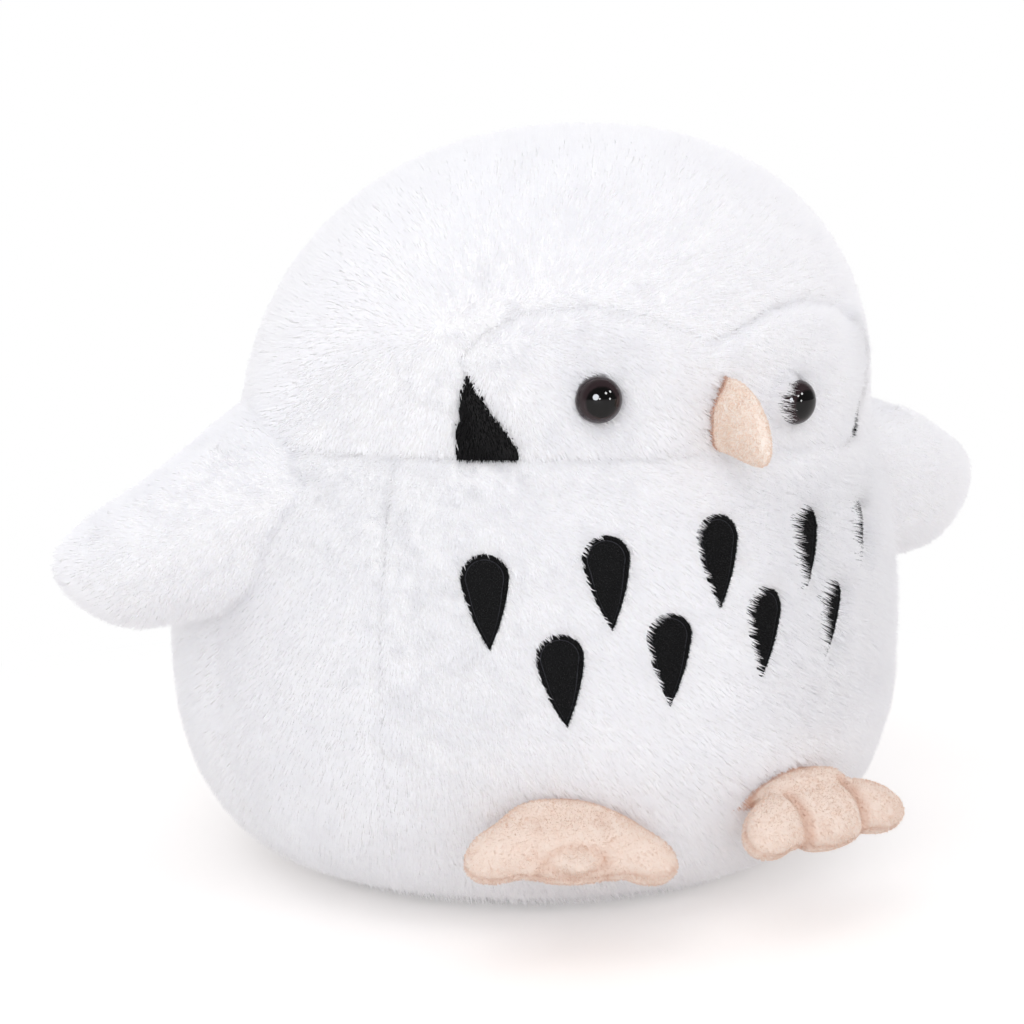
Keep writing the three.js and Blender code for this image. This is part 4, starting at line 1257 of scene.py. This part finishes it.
def makeFoot(word):
    nodes = [f"foot_top_{word}", f"foot_sole_{word}", f"foot_fill_{word}"]
    bm = weldedNodes(nodes)
    joint = jointOf(f"foot_{word}")
    hinge, axis = Vector(joint["pos_m"]), Vector(joint["axis"])
    near = [v.co.copy() for v in bm.verts
            if skinTree.find_nearest(v.co)[3] < footForm["rootReach"][word]]
    convexPiece(bm, near + bodyPlaces(footForm["archPlaces"][word], footForm["archDepth"]))
    skin = voxelSkin(f"foot_{word}_cloth", bm, footForm["voxel"], footForm["smoothing"][word])
    up = Vector((0, 0, 1))
    outward = axis.cross(up).normalized()
    if outward.y > 0:
        outward.negate()
    fromHinge = (pointsOf(skin) - np.array(hinge)) @ np.array(outward)
    puffUp(skin, fromHinge < footForm["pinned"], footPuff)
    slope, radius, rise = footForm["slope"], footForm["toeRadius"], footForm["toeRise"][word]
    square = (outward * math.sin(slope) + up * math.cos(slope)).normalized()
    aside = outward.cross(up)
    aside *= -1 if aside.x < 0 else 1

    # Where a place on the foot is: out from the hinge line, aside, off the seam's plane, and off
    # the middle toe's line
    def footPlaces(points):
        off = points - np.array(hinge)
        out, across = off @ np.array(outward), off @ np.array(aside)
        toe = np.hypot(across * footForm["toeShare"], off[:, 2] + footForm["toeDrop"])
        return out, across, off @ np.array(square), toe

    def foldDepth(points):
        out, across, fromSeam, fromToe = footPlaces(points)
        free = ramp(out, *footForm["foldsFrom"])
        seam = footForm["seamDepth"] * np.exp(-(fromSeam / footForm["seamHalfWidth"]) ** 2)
        deep, middles = footForm["folds"][word]
        folds = deep * sum(np.exp(-((across - middle * mm) / footForm["foldHalfWidth"]) ** 2)
                           for middle in middles)
        if word == "right":
            folds *= np.exp(-(fromSeam / footForm["foldReach"]) ** 2)
        offRing = fromToe / radius - footForm["ringPlace"]
        ring = np.exp(-(offRing / footForm["ringHalfWidth"]) ** 2)
        return (seam + folds + footForm["ringShare"] * rise * ring) * free

    # The foot's share of painted shade: it grows with the depth of its folds, its seam and the ring
    # round the middle toe, and the edge where it leaves the pile is darker too
    def footFold(points):
        inFold = np.clip(foldDepth(points) / footForm["foldShade"], 0, footForm["mostShade"])
        return inFold + foldNearSkin(points)

    points = pointsOf(skin)
    out, across, _, fromToe = footPlaces(points)
    toe = rise * ramp(fromToe, radius, footForm["toeTop"] * radius)
    toe *= ramp(out, *footForm["toeFrom"])
    sag = footForm["sag"][word] * ramp(across, 0, footForm["sagReach"])
    folded = points - normalsOf(skin) * foldDepth(points)[:, None]
    movePoints(skin, folded + np.outer(toe, outward) - np.outer(sag, up))
    setAttribute(skin, "fold", "FLOAT", footFold(pointsOf(skin)))

    def blendFoot(obj):
        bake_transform(obj)

    places, facing = scatterOn(skin, footNap["density"])
    flow = np.tile((outward.x, outward.y, footNap["hang"]), (len(places), 1))
    dress(skin, peachVelour, "peach_velour", *nodes)
    makePile(f"foot_{word}_nap", places, facing, flow, footNap, peachVelour,
             blendFoot, footFold(places))
    blendFoot(skin)


for word in sides:
    makeFoot(word)
print("feet made")


# Camera, floor and light

view = {
    "azimuth": math.radians(-26.5),
    "up": math.radians(8.5),
    "distance": 1.1,
    "target": Vector((-11.2, 5.6, 170)) * mm,
    "focalPixels": 2200,
    "framePixels": 1024,
    "sensor": 36,
}


# Stands a camera or a lamp away from a target, looking back at it
def standAway(obj, target, away, distance):
    obj.location = target + away * distance
    obj.rotation_euler = away.to_track_quat("Z", "Y").to_euler()
    scene.collection.objects.link(obj)


def makeCamera():
    camera = bpy.data.objects.new("camera", bpy.data.cameras.new("camera"))
    standAway(camera, view["target"], direction(view["azimuth"], view["up"]), view["distance"])
    camera.data.sensor_width = view["sensor"]
    camera.data.lens = view["focalPixels"] / view["framePixels"] * view["sensor"]
    scene.camera = camera


floorPaper = {"glow": 0.29, "fadeFrom": 0.32, "fadeTo": 0.62, "middle": (0.02, -0.06, 0),
              "halfWidth": 30}


# White paper that keeps the toy's shadow near it and runs out into the white of the background
def makeFloor():
    bm = bmesh.new()
    bmesh.ops.create_grid(bm, x_segments=1, y_segments=1, size=floorPaper["halfWidth"])
    floor = newObject("floor", bm)
    material, tree, place = newMaterial("seamless paper, white")
    off = addNode(tree, "ShaderNodeVectorMath", {
        0: place.outputs["Object"], 1: floorPaper["middle"]}, operation="DISTANCE")
    fade = addNode(tree, "ShaderNodeMapRange", {
        "Value": off.outputs["Value"], "From Min": floorPaper["fadeFrom"],
        "From Max": floorPaper["fadeTo"]}, interpolation_type="SMOOTHSTEP")
    paper = addNode(tree, "ShaderNodeBsdfDiffuse", {"Color": toLinear("#F2EFED")})
    glow = addNode(tree, "ShaderNodeEmission", {
        "Color": (1, 1, 1, 1), "Strength": floorPaper["glow"]})
    lit = addNode(tree, "ShaderNodeAddShader", {0: paper.outputs[0], 1: glow.outputs[0]})
    white = addNode(tree, "ShaderNodeEmission", {"Color": (1, 1, 1, 1), "Strength": 1.0})
    shown = addNode(tree, "ShaderNodeMixShader", {
        0: fade.outputs[0], 1: lit.outputs[0], 2: white.outputs[0]})
    ray = addNode(tree, "ShaderNodeLightPath")
    seen = addNode(tree, "ShaderNodeMixShader", {
        0: ray.outputs["Is Camera Ray"], 1: paper.outputs[0], 2: shown.outputs[0]})
    floor.data.materials.append(finishMaterial(material, seen))


# Power in watts, disk size, azimuth and height in degrees, distance and colour: large soft lights
# from the camera's upper left, from beside it and from its right, and five that only polished
# things mirror
softboxes = {
    "key": (6.8, 1.5, -48, 52, 2.2, "#FFFCF9"),
    "front": (10.2, 1.2, -24, 14, 2.2, "#F5F8FF"),
    "fill": (3.0, 1.4, 60, 12, 2.4, "#FFEADF"),
    "mirrored": (46, 0.85, -31, 10, 2.2, "#F4F8FF"),
    "mirrored_2": (6.0, 0.32, 8, 23, 2.2, "#FFFFFF"),
    "mirrored_3": (6.0, 0.32, 29, 27, 2.2, "#FFFFFF"),
    "mirrored_4": (3.4, 0.26, -17, 4, 2.2, "#FFFFFF"),
    "mirrored_5": (3.4, 0.26, 21, 3, 2.2, "#FFFFFF"),
}
studioLight = {"world": 0.775, "mirrored": 0.2, "aim": Vector((0, 0, 0.18))}


def makeLights():
    for name, (power, size, azimuth, up, distance, colour) in softboxes.items():
        lamp = bpy.data.lights.new(name, "AREA")
        lamp.shape = "DISK"
        lamp.size = size
        lamp.energy = power
        lamp.color = toLinear(colour)[:3]
        obj = bpy.data.objects.new(name, lamp)
        obj.visible_diffuse = not name.startswith("mirrored")
        obj.visible_glossy = name.startswith("mirrored")
        away = direction(math.radians(azimuth), math.radians(up))
        standAway(obj, studioLight["aim"], away, distance)
    world = bpy.data.worlds.new("studio")
    scene.world = world
    world.use_nodes = True
    tree = world.node_tree
    tree.nodes.clear()
    ray = addNode(tree, "ShaderNodeLightPath")
    soft = addNode(tree, "ShaderNodeBackground", {
        "Color": toLinear("#FCFCFE"), "Strength": studioLight["world"]})
    dark = addNode(tree, "ShaderNodeBackground", {
        "Color": (1, 1, 1, 1), "Strength": studioLight["mirrored"]})
    white = addNode(tree, "ShaderNodeBackground", {"Color": (1, 1, 1, 1), "Strength": 1.0})
    # The room behind the camera is dark, and what is behind the toy is white, for what mirrors them
    side = addNode(tree, "ShaderNodeTexCoord")
    parts = addNode(tree, "ShaderNodeSeparateXYZ", {"Vector": side.outputs["Generated"]})
    behind = addNode(tree, "ShaderNodeMapRange", {
        "Value": parts.outputs["Y"], "From Min": 0.0, "From Max": 0.4})
    room = addNode(tree, "ShaderNodeMixShader", {
        0: behind.outputs[0], 1: dark.outputs[0], 2: white.outputs[0]})
    mirrored = addNode(tree, "ShaderNodeMath", {
        0: ray.outputs["Is Glossy Ray"], 1: ray.outputs["Is Transmission Ray"]},
        operation="MAXIMUM")
    glossy = addNode(tree, "ShaderNodeMixShader", {
        0: mirrored.outputs[0], 1: soft.outputs[0], 2: room.outputs[0]})
    both = addNode(tree, "ShaderNodeMixShader", {
        0: ray.outputs["Is Camera Ray"], 1: glossy.outputs[0], 2: white.outputs[0]})
    addNode(tree, "ShaderNodeOutputWorld", {"Surface": both.outputs[0]})


makeCamera()
makeFloor()
makeLights()
scene.view_settings.view_transform = "Standard"
# Light in white pile bounces many times before it leaves
scene.cycles.max_bounces = scene.cycles.diffuse_bounces = 14
bpy.data.objects.remove(bodySkin)
bpy.data.objects.remove(pileTuftShape)
shownMeshes = [obj.data for obj in scene.objects if obj.type == "MESH" and not obj.hide_render]
triangles = sum(len(face.vertices) - 2 for mesh in shownMeshes for face in mesh.polygons)
print("camera, floor and lights set;", triangles, "triangles")
